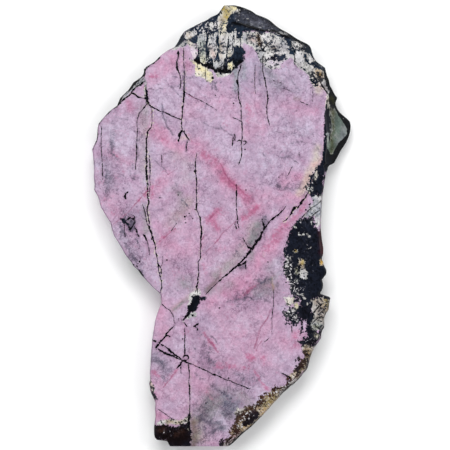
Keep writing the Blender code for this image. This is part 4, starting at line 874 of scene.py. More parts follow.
strandVeins = [
    (1, 0, [(128.4, 191.8), (125.8, 193.4), (124.9, 196.5), (125.6, 199.4, 0.8)]),
    (0.6, 0, [(131.5, 214.5), (134, 216, 0.5), (135.6, 218.4)]),
    (0.6, 0, [(128.4, 225.4, 0.8), (129.8, 230, 1.1), (131.6, 227.2), (133.4, 226)]),
    (1.2, 0.4, [(182.4, 129.6, 0.8), (180.8, 132.2), (179.4, 135, 1.7), (178.4, 142, 0.4)]),
    (1, 0, [(183, 357.4), (184.6, 355), (187.3, 355.4, 0.7), (188.3, 357.6, 0.6), (187.2, 359.7, 0.6),
     (184.4, 360.6, 1.1)]), (1.1, 0, [(184.2, 322.3), (185.4, 324.5), (186.8, 327, 0.9)]),
    (0.7, 0, [(198.8, 322.8), (196.2, 325.3, 1.1), (193.3, 326.7, 0.8)]),
    (0.6, 0, [(197.3, 327.5), (197.7, 331)]), (0.5, 0, [(234.8, 134), (234.6, 140.6)]),
    (0.5, 0, [(236, 221), (235, 224), (236.4, 229.4)]), (0.7, 0, [(152.6, 236.5), (151.4, 240)]),
    (0.6, 0.6, [(158, 263), (160, 266.5), (161.4, 270, 0.8), (161, 274), (161.2, 278)]),
    (1.4, 0, [(138.2, 269.2), (140.4, 272), (143.4, 276.6, 0.9)]),
    # these two strands run along the left rim: partly the edge's black crust, partly painted shade on the
    # bevel
    (0.9, 0, [(98.5, 123.7), (100.7, 121, 1.1), (104.2, 116.8, 0.6), (109.2, 111.4, 1), (113, 108.4),
     (117, 105.3, 1.4), (118.6, 101.6, 1.8), (120.6, 98.2, 1.5), (123.6, 94.6, 0.6), (127.6, 90),
     (130.2, 86.2, 2), (132.8, 82.8, 2.6), (137.4, 79.2, 1.8), (141, 76.8, 1.5), (143.6, 73.6, 2.3),
     (144.2, 69.4, 1.7), (146.4, 66.6, 1.9), (151, 64, 1.1), (156, 61), (160, 56.4)]),
    (0.35, 0, [(97.6, 128), (97.6, 135), (96.8, 141, 0.3), (94.2, 146, 0.3), (92.6, 150)]),
    (0.6, 0, [(179, 318), (178.3, 319.4), (178.6, 321.4)]), (0.8, 0, [(188.4, 317), (188.8, 318)]),
    # along the lower right rim: partly the rim's own dark edge, partly painted shadow of the wall
    (0.5, 0.2, [(291.5, 386), (297, 380.7), (303, 373.8), (307.8, 367)]),
    (0.55, 0.2, [(321.3, 200.3), (317.3, 204.3), (310.7, 208.2), (303, 216.3), (300, 219)]),
    (0.5, 0.4, [(313.6, 313), (316.6, 309.4, 0.8), (319.4, 306.4, 0.8), (323, 303.6, 0.4), (329.6, 301.4)]),
    (0.4, 0.2, [(311.6, 324), (317, 319), (322, 316)]),
    # along the lower right rim: partly the rim's own dark edge, partly painted shadow of the wall
    (0.8, 0.2, [(228.5, 446), (236, 439), (250, 427), (258, 419.6), (262, 415.4, 0.5)]),
    (0.35, 0, [(223, 446), (228, 441), (234, 436.6)]),
    (0.35, 0, [(187.5, 141), (186.5, 146, 0.5), (186.3, 152, 0.3)]),
    (0.9, 0, [(127.6, 219.4), (130, 217.2), (132.4, 219.2), (135, 218.4)]),
    (0.8, 0, [(135.2, 219), (135, 222.4), (132.6, 225.4)]),
]
roseVeins = [
    (0.5, 0, [(236, 221), (226, 230), (222, 234), (218, 240), (212, 246), (202.6, 255.6, 0.3)]),
    (0.5, 0, [(112.8, 224.4), (128.5, 212), (148, 190)]), (0.3, 0, [(166, 176), (178, 168)]),
    (0.5, 0, [(186, 94), (196, 99)]), (0.4, 0, [(156, 244), (176, 228)]),
    (0.3, 0, [(262, 340), (258, 346), (256, 352)]), (0.4, 0, [(207, 301), (214, 303)]),
    (0.4, 0, [(206, 232), (202, 240)]), (0.3, 0, [(152, 112), (148, 118)]),
    (1, 0, [(204, 333), (210, 341, 1.5), (213, 345, 1.2), (216, 350), (218, 353, 0.6)]),
    (0.6, 0, [(212, 158, 0.3), (218, 161, 0.5), (222, 166), (224.6, 173, 0.7), (229, 180), (236, 185.6),
     (242, 191, 0.7), (248, 197, 0.5)]), (0.8, 0, [(209, 220), (213, 214.6, 1.4), (217, 211)]),
    (0.7, 0, [(243, 296), (249, 290.6, 1.2), (256, 285)]),
    (0.6, 0, [(163, 387.6), (169, 380, 1), (176, 371.6)]),
    (0.9, 0, [(271, 309), (267, 319), (260.4, 328), (257.6, 338), (254, 349)]),
]
veins = {"upright": uprightVeins, "falling": fallingVeins, "rising": risingVeins, "branch": branchVeins,
         "strand": strandVeins, "rose": roseVeins}
darkVeins = [name for name in veins if name != "rose"]

# Where the broken edge is darkened by weathering: (radius, strength, x, y, x, y and so on)
rindAlong = [
    (14, 1, 100, 121, 131, 86, 187, 30, 224, 6, 257, 15, 300, 41, 325, 67),
    (16, 1, 325, 67, 337, 98, 350, 124, 338, 153, 327, 172, 322, 200, 322, 240, 326, 270),
    (14, 1, 326, 270, 324, 294, 330, 298, 324, 325, 312, 352), (14, 0.7, 312, 352, 300, 377, 229, 446),
    (12, 1, 153, 424, 160, 440, 190, 446), (8, 0.9, 150, 382, 154, 400), (10, 0.6, 134, 266, 141, 275),
    (12, 0.35, 100, 121, 94, 146, 94, 180, 101, 208), (12, 0.25, 112, 230, 141, 275, 161, 300, 151, 350),
]

# Where grey wisps gather, where pale stone stays plain, and where it is streaked: (radius, strength,
# x, y, x, y and so on)
smokeClouds = [
    (12, 0.5, 108, 150, 110, 190), (14, 0.35, 258, 66, 304, 90), (6, 0.4, 142, 112, 142, 170),
    (9, 0.35, 196, 150, 190, 200), (12, 0.5, 236, 302, 262, 288, 276, 270), (16, 0.45, 206, 345, 212, 362),
    (14, 0.7, 242, 386, 226, 404), (11, 0.8, 200, 410, 202, 436), (7, 0.6, 258, 230, 240, 256, 220, 276),
    (9, 0.5, 282, 150, 292, 172), (11, 0.8, 124, 214, 130, 238, 142, 264), (8, 0.4, 176, 262, 186, 284),
    (10, 0.5, 160, 362, 166, 380), (9, 0.4, 238, 66, 236, 96), (10, 0.4, 278, 186, 300, 186),
    (8, 0.4, 182, 62, 178, 90),
]
plainClouds = [
    (9, 0.9, 338, 116, 342, 132, 334, 148), (5, 0.7, 227, 10, 226, 18), (6, 0.5, 292, 54, 300, 58),
]
streakClouds = [
    (12, 1, 200, 46, 236, 44), (7, 0.6, 216, 64, 232, 66), (7, 0.6, 286, 50, 304, 58),
    (6, 0.6, 316, 88, 327, 100, 328, 140), (6, 0.5, 316, 175, 312, 190),
]


# How the lists above are laid on the slab; lengths are in squares, sizes in metres.
laying = {
    "patchReach": 6,  # depth inside or outside a patch past which it isn't worked out
    "veinReach": 2.6,  # how far from its middle a vein is still worked out
    "taper": 3,  # squares of half width that a vein loses for each square past its end
    "spotReach": 2.8,
    "cloudReach": 2.4,  # radii out to which a cloud is worked out
    "astray": 2.6,  # how far the clouds' rims wander
    "astraySize": 0.0016,
    "unevenLeast": 0.35,  # least strength of a cloud of colour
    "uneven": [(0.0022, 47, 0.8), (0.0009, 53, 0.5)],  # (size, seed, strength added by the lumps)
    "halo": ("mauve", 1.6, 0.34),  # beside each vein: colour, radius, strength
    "drift": 9,  # how far the pattern has wandered at the back
    "driftSize": 0.011,
    "driftDepth": 0.25,  # share of the thickness, from the back, in which it wanders
}


def paired(numbers):
    # x, y, x, y and so on as one place in each row
    return np.reshape(np.array(numbers, float), (-1, 2))


def closeTo(at, places, reach):
    # which points lie within reach of the box round these places
    low = np.min([place[:2] for place in places], axis=0) - reach
    high = np.max([place[:2] for place in places], axis=0) + reach
    return np.flatnonzero(((at > low) & (at < high)).all(axis=1))


def nearestOn(at, chain, usual):
    # the nearest spot of a chain: signed distance to it, its half width, and how far past an end it is;
    # every point is at no distance from a chain of one place
    chain = [tuple(place) + (usual,) if len(place) == 2 else place for place in chain]
    best = np.full(len(at), 1e9)
    side, wide, past = np.zeros((3, len(at)))
    for number, (a, b) in enumerate(zip(chain[:-1], chain[1:])):
        run = np.subtract(b[:2], a[:2])
        length = np.hypot(*run)
        away = at - np.array(a[:2])
        share = away @ run / length ** 2
        t = np.clip(share, 0, 1)
        far = np.linalg.norm(away - t[:, None] * run, axis=1)
        wins = far < best
        best = np.where(wins, far, best)
        turn = run[0] * away[:, 1] - run[1] * away[:, 0]
        side = np.where(wins, np.where(turn < 0, -1, 1), side)
        wide = np.where(wins, a[2] * (1 - t) + b[2] * t, wide)
        before = np.maximum(-share, 0) * (number == 0)
        beyond = np.maximum(share - 1, 0) * (number == len(chain) - 2)
        past = np.where(wins, (before + beyond) * length, past)
    return side * best, wide, past


def insideBy(at, corners):
    # signed distance to a closed outline, positive inside it: a ray to the right crosses it an odd
    # number of times from any point inside
    best = np.full(len(at), 1e9)
    inside = np.zeros(len(at), bool)
    corners = np.array(corners, float)
    for a, b in zip(corners, np.roll(corners, -1, axis=0)):
        run = b - a
        away = at - a
        t = np.clip(away @ run / (run @ run), 0, 1)
        best = np.minimum(best, np.linalg.norm(away - t[:, None] * run, axis=1))
        level = (a[1] > at[:, 1]) != (b[1] > at[:, 1])
        inside ^= level & (away[:, 0] < run[0] * away[:, 1] / (run[1] or 1))
    return np.where(inside, best, -best)


def patchField(at, patches):
    # the depth in the patch that each point is deepest in, no more than the reach either way, and how
    # ragged that patch is
    reach = laying["patchReach"]
    deepest = np.full(len(at), -float(reach))
    ragged = np.ones(len(at))
    for rag, *numbers in patches:
        corners = paired(numbers)
        near = closeTo(at, corners, reach)
        value = np.minimum(insideBy(at[near], corners), reach)
        wins = value > deepest[near]
        deepest[near[wins]] = value[wins]
        ragged[near[wins]] = rag
    return deepest, ragged


def veinField(at, chains):
    # the nearest vein of the set: signed distance, half width (-9 where there is none), and flecks
    reach = laying["veinReach"]
    nearest = np.full(len(at), 9.0)
    wide = np.full(len(at), -9.0)
    flecks = np.zeros(len(at))
    for usual, fleck, chain in chains:
        near = closeTo(at, chain, reach)
        far, half, past = nearestOn(at[near], chain, usual)
        wins = (np.abs(far) < np.abs(nearest[near])) & (np.abs(far) < reach)
        picked = near[wins]
        nearest[picked] = far[wins]
        wide[picked] = (half - laying["taper"] * past)[wins]
        flecks[picked] = fleck
    return np.stack([nearest, wide, flecks], axis=1)


def spotField(at, dots):
    # the nearest dot: the way to its middle, and its radius (-9 where there is none)
    field = np.tile([9.0, 9.0, -9.0], (len(at), 1))
    for x, y, radius in dots:
        near = closeTo(at, [(x, y)], laying["spotReach"])
        field[near] = np.column_stack([at[near] - (x, y), np.full(len(near), radius)])
    return field


def weightField(at, clouds):
    # 1 less the product of what each cloud leaves: strength * exp(-(distance / radius) ^ 2)
    left = np.ones(len(at))
    for radius, strength, *numbers in clouds:
        places = paired(numbers)
        near = closeTo(at, places, laying["cloudReach"] * radius)
        far = nearestOn(at[near], places, 0)[0]
        left[near] *= 1 - strength * np.exp(-(far / radius) ** 2)
    return 1 - left


def linear(name):
    # the palette's colour as the amounts of light that Blender works in
    share = np.array(palette[name]) / 255
    return np.where(share < 0.04045, share / 12.92, ((share + 0.055) / 1.055) ** 2.4)


def painted(at, uneven, ground, clouds):
    # each cloud draws the colour towards its own by strength * uneven * exp(-(distance / radius) ^ 2)
    colours = np.tile(linear(ground), (len(at), 1))
    for name, radius, strength, *numbers in clouds:
        places = paired(numbers)
        near = closeTo(at, places, laying["cloudReach"] * radius)
        far = nearestOn(at[near], places, 0)[0]
        share = np.minimum(strength * uneven[near] * np.exp(-(far / radius) ** 2), 1)
        colours[near] += (linear(name) - colours[near]) * share[:, None]
    return colours


def lumpPairs(size, seeds):
    # two lots of smooth noise from -0.5 to 0.5, as one place in each row
    return np.column_stack([lumps(points, size, seed) for seed in seeds]) - 0.5


def gridPlaces():
    # every point on the grid; near the back the pattern wanders sideways as it goes down
    at = np.column_stack([grid["middle"] + points[:, 0] / square,
                          (grid["tip"] + grid["foot"]) / 2 - points[:, 1] / square])
    deep = np.clip(1 - points[:, 2] / (laying["driftDepth"] * slab["thickness"]), 0, 1)
    return at + laying["drift"] * lumpPairs(laying["driftSize"], (31, 37)) * deep[:, None]


def stoneAttributes():
    # what the material reads at every point, each as three numbers
    at = gridPlaces()
    halos = [(*laying["halo"], *[number for place in chain for number in place[:2]])
             for name in darkVeins for _, _, chain in veins[name]]
    print("colours of the stone")
    loose = at + laying["astray"] * lumpPairs(laying["astraySize"], (41, 43))
    uneven = laying["unevenLeast"]
    for size, seed, strength in laying["uneven"]:
        uneven = uneven + strength * lumps(points, size, seed)
    found = {
        "stoneColour": painted(loose, uneven, "lavender", stoneClouds + halos),
        "paleColour": painted(loose, uneven, "chalk", paleClouds),
        "darkColour": painted(loose, uneven, "navy", darkClouds),
    }
    found["marks"] = np.stack([weightField(loose, marks[name]) for name in ("ash", "rose", "pale")], axis=1)
    print("patches")
    pale, paleRag = patchField(at, palePatches)
    dark, darkRag = patchField(at, darkPatches)
    grain, grainRag = patchField(at, grains)
    found["patches"] = np.stack([pale, dark, grain], axis=1)
    found["ragged"] = np.stack([paleRag, darkRag, grainRag], axis=1)
    print("veins")
    for name in veins:
        found[name] = veinField(at, veins[name])
    found["spot"] = spotField(at, spots)
    speckled = [weightField(at, darkSpecks), weightField(at, paleSpecks), weightField(at, rindAlong)]
    found["specks"] = np.stack(speckled, axis=1)
    looks = [weightField(at, smokeClouds), weightField(at, streakClouds), weightField(at, plainClouds)]
    found["looks"] = np.stack(looks, axis=1)
    # each column as broken edge, sawn back or wall, the same in every row
    leftCount, topCount, rightCount, backCount = sizes
    broken = np.concatenate([np.ones(leftCount - 1), np.zeros(topCount + 2), np.ones(rightCount - 1),
                             np.zeros(backCount)])
    sawn = np.concatenate([np.zeros(columnCount - backCount), np.ones(backCount)])
    wallCount = wallColumns + 1
    wall = np.zeros(columnCount)
    wall[:wallCount] = 1
    wall[leftCount + topCount + rightCount - wallCount:leftCount + topCount + rightCount] = 1
    faces = np.stack([broken, sawn, wall], axis=1)
    found["faces"] = np.repeat(faces, rowCount, axis=0)
    return found


# Where the slab's faces lie on the texture, which runs from 0 to 1 both ways.
layout = {
    "top": (0.285, 0.93),  # (middle, scale) across
    "back": (0.75, 0.58, 0.62),  # (middle, scale) across, and scale along
    "leftWall": (0.935, 0.03),  # (start, breadth)
    "rightWall": (0.97, 0.028),
    "tipEnd": (0.85, 0.75),
    "footEnd": (0.78, 0.60),
    "endScale": 5.5,  # for each metre
}


def mapPlaces():
    # where every quad's corner goes on the texture: top, back and the two broken edges side by side
    leftCount, topCount, rightCount = sizes[:3]
    quadColumn = np.repeat(np.arange(columnCount), rowCount - 1)[:, None]
    n = quads // rowCount
    n = np.where((n == 0) & (quadColumn == columnCount - 1), columnCount, n)
    row = quads % rowCount / (rowCount - 1)
    u = 0.5 - points[quads, 1] / grid["length"]
    v = points[quads, 0] / grid["length"]
    onTop = (quadColumn >= leftCount - 1) & (quadColumn < leftCount + topCount)
    onRight = (quadColumn >= leftCount + topCount) & (quadColumn < leftCount + topCount + rightCount - 1)
    onLeft = quadColumn < leftCount - 1
    start, breadth = layout["leftWall"]
    leftWall = np.stack([row, start + breadth * n / (leftCount - 1)], axis=-1)
    start, breadth = layout["rightWall"]
    rightWall = np.stack([row, start + breadth * (n - leftCount - topCount) / (rightCount - 1)], axis=-1)
    middle, scale = layout["top"]
    top = np.stack([u, middle + scale * v], axis=-1)
    middle, scale, scaleAlong = layout["back"]
    back = np.stack([scaleAlong * u, middle + scale * v], axis=-1)
    which = [onTop[..., None], onRight[..., None], onLeft[..., None]]
    corners = np.select(which, [top, rightWall, leftWall], back).reshape(-1, 2)
    ends = []
    for cap, corner in ((tipCap, layout["tipEnd"]), (footCap, layout["footEnd"])):
        ends.append(np.array(corner) + layout["endScale"] * points[cap.reshape(-1)][:, [0, 2]])
    return np.concatenate([corners] + ends)


def slabMesh():
    # the sheet's quads and the two flat ends as one closed mesh
    mesh = bpy.data.meshes.new("slab")
    faces = quads.tolist() + tipCap.tolist() + footCap.tolist()
    mesh.from_pydata(points.tolist(), [], faces)
    for name, values in stoneAttributes().items():
        layer = mesh.attributes.new(name, "FLOAT_VECTOR", "POINT")
        layer.data.foreach_set("vector", values.astype(np.float32).ravel())
    layer = mesh.uv_layers.new(name="OFBake")
    layer.uv.foreach_set("vector", mapPlaces().astype(np.float32).ravel())
    mesh.shade_smooth()
    mesh.set_sharp_from_angle(angle=np.radians(slab["sharpAngle"]))
    mesh.update()
    return mesh


class Field:
    # a socket that takes part in sums: each operator adds its Math node
    def __init__(self, shade, socket):
        self.shade = shade
        self.socket = socket

    def math(self, operation, *values):
        sockets = dict(enumerate(values))
        return self.shade.node("ShaderNodeMath", {"operation": operation}, sockets)

    def __add__(self, other):
        return self.math("ADD", self, other)

    __radd__ = __add__

    def __sub__(self, other):
        return self.math("SUBTRACT", self, other)

    def __rsub__(self, other):
        return self.math("SUBTRACT", other, self)

    def __mul__(self, other):
        return self.math("MULTIPLY", self, other)

    __rmul__ = __mul__

    def __abs__(self):
        return self.math("ABSOLUTE", self)

    def most(self, other):
        return self.math("MAXIMUM", self, other)

    def rise(self, low, high):
        # 0 below low and 1 above high, with a soft step between
        settings = {"interpolation_type": "SMOOTHSTEP"}
        return self.shade.node("ShaderNodeMapRange", settings, {0: self, 1: low, 2: high, 3: 0, 4: 1})

    def mask(self, layer):
        # 0 to 1 between the two values that the finish gives for this layer
        return self.rise(*finish["masks"][layer])


class Shade:
    # the nodes of one material or world, and the one way that a node is added to them
    def __init__(self, owner):
        self.owner = owner
        owner.use_nodes = True
        self.tree = owner.node_tree
        self.tree.nodes.clear()

    def node(self, kind, settings=None, sockets=None, output=0):
        made = self.tree.nodes.new(kind)
        for name, value in (settings or {}).items():
            if name == "stops":
                for stop, (position, colour) in zip(made.color_ramp.elements, value):
                    stop.position = position
                    stop.color = colour
            else:
                setattr(made, name, value)
        for name, value in (sockets or {}).items():
            if isinstance(value, Field):
                self.tree.links.new(value.socket, made.inputs[name])
            else:
                made.inputs[name].default_value = value
        if isinstance(output, range):
            return [Field(self, made.outputs[number]) for number in output]
        return Field(self, made.outputs[output]) if made.outputs else None

    def vector(self, name):
        # three numbers of the mesh together, as a place or a colour
        return self.node("ShaderNodeAttribute", {"attribute_name": name}, output="Vector")

    def parts(self, name):
        # the same three numbers one by one
        return self.node("ShaderNodeSeparateXYZ", None, {0: self.vector(name)}, range(3))

    def stretched(self, place, degrees, times):
        # places turned to this angle and drawn out along it
        sockets = {"Vector": place, "Rotation": (0, 0, np.radians(degrees)), "Scale": (times, 1, 1)}
        return self.node("ShaderNodeMapping", {"vector_type": "TEXTURE"}, sockets)

    def noise(self, place, size, seed, detail=3, roughness=0.5, distortion=0):
        # smooth noise from about 0.25 to 0.75, its lumps about this many metres across
        sockets = {"Vector": place, "W": seed, "Scale": 1 / size, "Detail": detail,
                   "Roughness": roughness, "Distortion": distortion}
        return self.node("ShaderNodeTexNoise", {"noise_dimensions": "4D"}, sockets)

    def mix(self, share, first, second):
        # colours A and B of a Mix node are its sockets 6 and 7
        settings = {"data_type": "RGBA", "clamp_factor": True}
        return self.node("ShaderNodeMix", settings, {0: share, 6: first, 7: second}, output=2)

    def tinted(self, colour, amounts):
        # a colour with its red, green and blue each multiplied
        return self.node("ShaderNodeVectorMath", {"operation": "MULTIPLY"}, {0: colour, 1: amounts})

    def shaded(self, colour, amount):
        # a colour made lighter or darker by a number near 1
        settings = {"operation": "SCALE"}
        return self.node("ShaderNodeVectorMath", settings, {0: colour, "Scale": amount})


# The stone's finish.
finish = {
    "tone": 0.69,  # the whole stone made darker or lighter
    "polishRoughness": 0.24,
    "brokenRoughness": 0.90,
    "sawnRoughness": 0.55,
    "reflection": 0.2,  # specular level
    "refraction": 1.55,
    "bumpDepth": 0.0003,  # in metres
    "veinSoftness": 0.18,  # squares over which a vein's edge fades
    "sawPitch": 0.0006,  # between saw lines on the back
    "sawCentre": (0.55, 0.1, 0),  # the saw's axle, in metres from the slab's middle
    "noises": {  # (size in metres, seed, detail, roughness, distortion)
        "cloud": (0.0085, 1.3, 5, 0.6, 0.6),  # deeper pink and lilac
        "mottle": (0.0026, 4.7, 6, 0.66, 0.8),
        "grain": (0.0007, 9.1, 2, 0.6),
        "patchy": (0.0125, 7.7, 3, 0.5),  # where wisps gather
        "rough": (0.0020, 5.5, 7, 0.72, 0.3),  # lobes on the rims of patches
        "fine": (0.0008, 12.1, 3, 0.65, 0.2),
        "flake": (0.00088, 17.9, 3, 0.65, 0.2),
        "wobble": (0.0016, 20.3, 4, 0.65),  # sideways wander of the veins
        "swell": (0.0014, 23.1, 3, 0.65),  # thick and thin places in the veins
        "feather": (0.0012, 41.3, 6, 0.72, 1.6),
        "lump": (0.00442, 61.7, 5, 0.60, 0.9),
        "dull": (0.0013, 81.3, 3, 0.58, 0.3),
    },
    # noises drawn out along the face: (angle in degrees, times drawn out, size, seed)
    "streak": (88, 6, 0.0007, 31.7),
    "wisps": [(82, 3.0, 0.0015, 2.9), (-28, 3.2, 0.0014, 14.3), (48, 3.2, 0.0014, 26.9)],
    "lines": [(80, 3.4, 0.0034, 3.3), (-35, 3.6, 0.0030, 11.9), (42, 3.6, 0.0032, 19.4)],
    "nets": [(0.0060, 0.032), (0.0032, 0.046)],  # (size of the mesh, width of its cracks as a share)
    "netScale": 420,  # of the noise that bends the nets
    "netBend": 0.0036,
    "crackCore": 0.2,  # share of a net's crack that is fully dark
    "masks": {  # (value where a layer starts, value where it lies fully), of noise or in squares
        "deepPink": (0.50, 0.74), "lilac": (0.50, 0.28), "chalky": (0.05, 1.0), "rosy": (0.05, 1.25),
        "gather": (0.42, 0.64), "wisp": (0.53, 0.70), "smudge": (0.10, 1.0), "seam": (0.52, 0.42),
        "paleLump": (0.53, 0.62), "netHere": (0.53, 0.46), "line": (0.016, 0.002),
        "lineHere": (0.54, 0.38), "dull": (0.60, 0.66), "darkLump": (0.35, 0.75), "grit": (0.54, 0.66),
        "paleMottle": (0.34, 0.60), "stain": (0.52, 0.60), "flake": (0.52, 0.60), "dirt": (0.535, 0.570),
        "paleRim": (-0.35, 0.35), "darkRim": (-0.2, 0.2), "grainRim": (-0.25, 0.25),
        "veinHere": (-3, 0), "fleckStart": (0, 0.3), "fleckEnd": (0, 0.6), "fleck": (0.53, 0.58),
        "spotRim": (-0.25, 0.3), "roseRim": (-0.7, 0.5), "plumMottle": (0.36, 0.60),
        "whiteSpeck": (0.70, 0.76), "blackSpeck": (0.72, 0.79), "rind": (0.35, 0.75),
        "crust": (0.52, 0.66), "edgeShadeMottle": (0.62, 0.38),
    },
    "stir": {  # how much a noise breaks up a layer's rim or stirs its tone
        "chalky": 1.6, "rosyMottle": 2.6, "rosyFlake": 1.8, "smudge": 2.0, "rind": 2.2, "spot": 2.4,
        "rose": 2.4, "darkStone": 2.4, "paleStone": 1.6, "pinkGrain": 0.6, "pinkRough": 0.4,
        "pinkFine": 0.8, "gloss": 0.10,
    },
    "speckGather": 0.20,  # how much more specks there are where they gather
    "heights": {"fine": 0.5, "sawLine": 0.06, "sawnGrain": 0.25, "polishGrain": 0.012},  # shares of the bump
    "tints": {  # (share where it lies fully, red, green and blue each multiplied)
        "deepPink": (0.60, (1.03, 0.82, 0.91)), "lilac": (0.60, (1.00, 1.16, 1.14)),
        "seam": (0.40, (0.68, 0.60, 0.66)), "paleLump": (0.46, (1.06, 1.18, 1.14)),
        "crack": (1, (0.40, 0.32, 0.40)), "dull": (1, (0.44, 0.38, 0.46)),
    },
    "coats": {  # share of a palette colour where it lies fully
        "pale": 0.9, "rose": 0.85, "ash": 0.9, "blueGrey": 0.32, "brown": 0.8, "cream": 0.9,
        "white": 0.92, "black": 0.9, "plum": 0.55, "ink": 1, "beige": 0.22,
    },
    "dirt": 0.94,  # share of dark stone in the pits of the pale stone
    "rind": 0.92,  # share of dark crust on the broken edge
    "tear": (9, 5),  # squares by which coarse and fine lumps tear the rims of patches
    "comb": 26,  # squares by which the streaks draw out the pale grains
    "veinWander": 2.2,
    "veinSwell": 5.0,  # how much a vein's width changes along it
    "veinGrit": 1.6,  # squares by which fine lumps roughen a vein
    "fleckFrom": 0.4,  # squares from a vein's middle between which its pale flecks lie
    "fleckTo": 2.4,
}


def colourOf(name):
    # a colour of the palette for a socket
    return (*linear(name), 1)


def tintedBy(shade, mask, colour, tint):
    # the colour multiplied by one of the finish's tints, where the mask is
    share, amounts = finish["tints"][tint]
    return shade.mix(mask * share, colour, shade.tinted(colour, amounts))


def coated(shade, mask, colour, name):
    # a colour of the palette over the colour, where the mask is
    return shade.mix(mask * finish["coats"][name], colour, colourOf(name))


def stoneMaterial():
    # the pink stone, then the patches, veins and specks over it, then the broken edge and the sawn back;
    # noises run from about 0.25 to 0.75, and distances from rims and veins are in squares
    shade = Shade(bpy.data.materials.new("rhodonite"))
    place = shade.node("ShaderNodeTexCoord", output="Object")
    cloud, mottle, grain, patchy, rough, fine, flake, wobble, swell, feather, lump, dull = [
        shade.noise(place, *values) for values in finish["noises"].values()]
    wobble = wobble - 0.5
    stir = finish["stir"]
    angle, long, size, seed = finish["streak"]
    streak = shade.noise(shade.stretched(place, angle, long), size, seed, 3, 0.6)

    paleDeep, darkDeep, grainDeep = shade.parts("patches")
    paleRag, darkRag, grainRag = shade.parts("ragged")
    darkSpeck, paleSpeck, rind = shade.parts("specks")
    broken, sawn, wall = shade.parts("faces")
    smoke, streaky, plain = shade.parts("looks")

    # pink stone: painted clouds, then lumps of pink and lilac
    pink = shade.vector("stoneColour")
    ash, rose, chalk = shade.parts("marks")
    colour = tintedBy(shade, cloud.mask("deepPink"), pink, "deepPink")
    colour = tintedBy(shade, cloud.mask("lilac"), colour, "lilac")
    chalky = (chalk + (rough - 0.5) * stir["chalky"]).mask("chalky")
    colour = coated(shade, chalky, colour, "pale")
    rosy = rose + (mottle - 0.5) * stir["rosyMottle"] + (flake - 0.5) * stir["rosyFlake"]
    colour = coated(shade, rosy.mask("rosy"), colour, "rose")

    # grey wisps drawn out three ways, thick where the grey marks are
    gather = patchy.mask("gather") * 0.30 + smoke * 0.8 + 0.10
    wisps = 0
    for angle, long, size, seed in finish["wisps"]:
        veil = shade.noise(shade.stretched(place, angle, long), size, seed, 5, 0.66, 1.2)
        wisps = veil.mask("wisp").most(wisps)
    smudged = ash + wisps * gather * 0.8 + smoke * 0.18 + (feather - 0.5) * stir["smudge"]
    colour = coated(shade, smudged.mask("smudge"), colour, "ash")

    # pale lumps with dull seams between
    colour = tintedBy(shade, lump.mask("seam"), colour, "seam")
    colour = tintedBy(shade, lump.mask("paleLump"), colour, "paleLump")

    # a net of fine cracks, seen here and there, and thin lines running three ways
    wander = shade.node("ShaderNodeTexNoise", None,
                        {"Vector": place, "Scale": finish["netScale"], "Detail": 3}, output="Color")
    astray = shade.node("ShaderNodeVectorMath", {"operation": "MULTIPLY_ADD"},
                        {0: wander, 1: (finish["netBend"],) * 3, 2: place})
    seams = 0
    for size, wide in finish["nets"]:
        edge = shade.node("ShaderNodeTexVoronoi", {"feature": "DISTANCE_TO_EDGE"},
                          {"Vector": astray, "Scale": 1 / size})
        seams = edge.rise(wide, wide * finish["crackCore"]).most(seams)
    seams = seams * (rough * 0.5 + mottle * 0.5).mask("netHere") * 0.8
    for angle, long, size, seed in finish["lines"]:
        line = shade.noise(shade.stretched(place, angle, long), size, seed, 4, 0.62, 0.5)
        seams = (abs(line - 0.5).mask("line") * mottle.mask("lineHere")).most(seams)
    colour = tintedBy(shade, seams * (0.42 + gather * 0.6), colour, "crack")
    colour = tintedBy(shade, dull.mask("dull") * (0.14 + gather * 0.5), colour, "dull")
    tone = 1.045 + stir["pinkGrain"] * (grain - 0.5) + stir["pinkRough"] * (rough - 0.5)
    colour = shade.shaded(colour, tone + stir["pinkFine"] * (fine - 0.5))

    # pale mottled stone, then the dark stone with its pale grains
    coarseTear, fineTear = finish["tear"]
    tear = (rough - 0.5) * coarseTear + (fine - 0.5) * fineTear
    dark = shade.vector("darkColour")
    dark = shade.shaded(dark, 0.45 + 0.9 * rough.mask("darkLump") + stir["darkStone"] * (fine - 0.5))
    gritty = (flake + paleSpeck * 0.06).mask("grit") * paleSpeck
    dark = coated(shade, gritty, dark, "blueGrey")
    pale = shade.vector("paleColour")
    uneven = 0.62 * mottle.mask("paleMottle") + stir["paleStone"] * (fine - 0.5)
    pale = shade.shaded(pale, 0.70 + uneven * (1 - plain * 0.7))
    stain = (rough * 0.6 + flake * 0.4 + darkSpeck * 0.06).mask("stain")
    pale = coated(shade, stain * darkSpeck, pale, "brown")
    pale = shade.mix(flake.mask("flake") * (0.5 - plain * 0.4), pale, colourOf("white"))
    dirt = (fine * 0.55 + rough * 0.45 + darkSpeck * 0.11 - plain * 0.08).mask("dirt")
    pale = shade.mix(dirt * finish["dirt"], pale, dark)
    paleMask = (paleDeep + tear * paleRag * 0.8).mask("paleRim")
    colour = shade.mix(paleMask, colour, pale)
    darkMask = (darkDeep + tear * darkRag).mask("darkRim")
    colour = shade.mix(darkMask, colour, dark)
    comb = (streak - 0.5) * finish["comb"] * streaky
    grainMask = (grainDeep + tear * grainRag * 0.8 + comb).mask("grainRim")
    colour = shade.mix(grainMask, colour, pale)

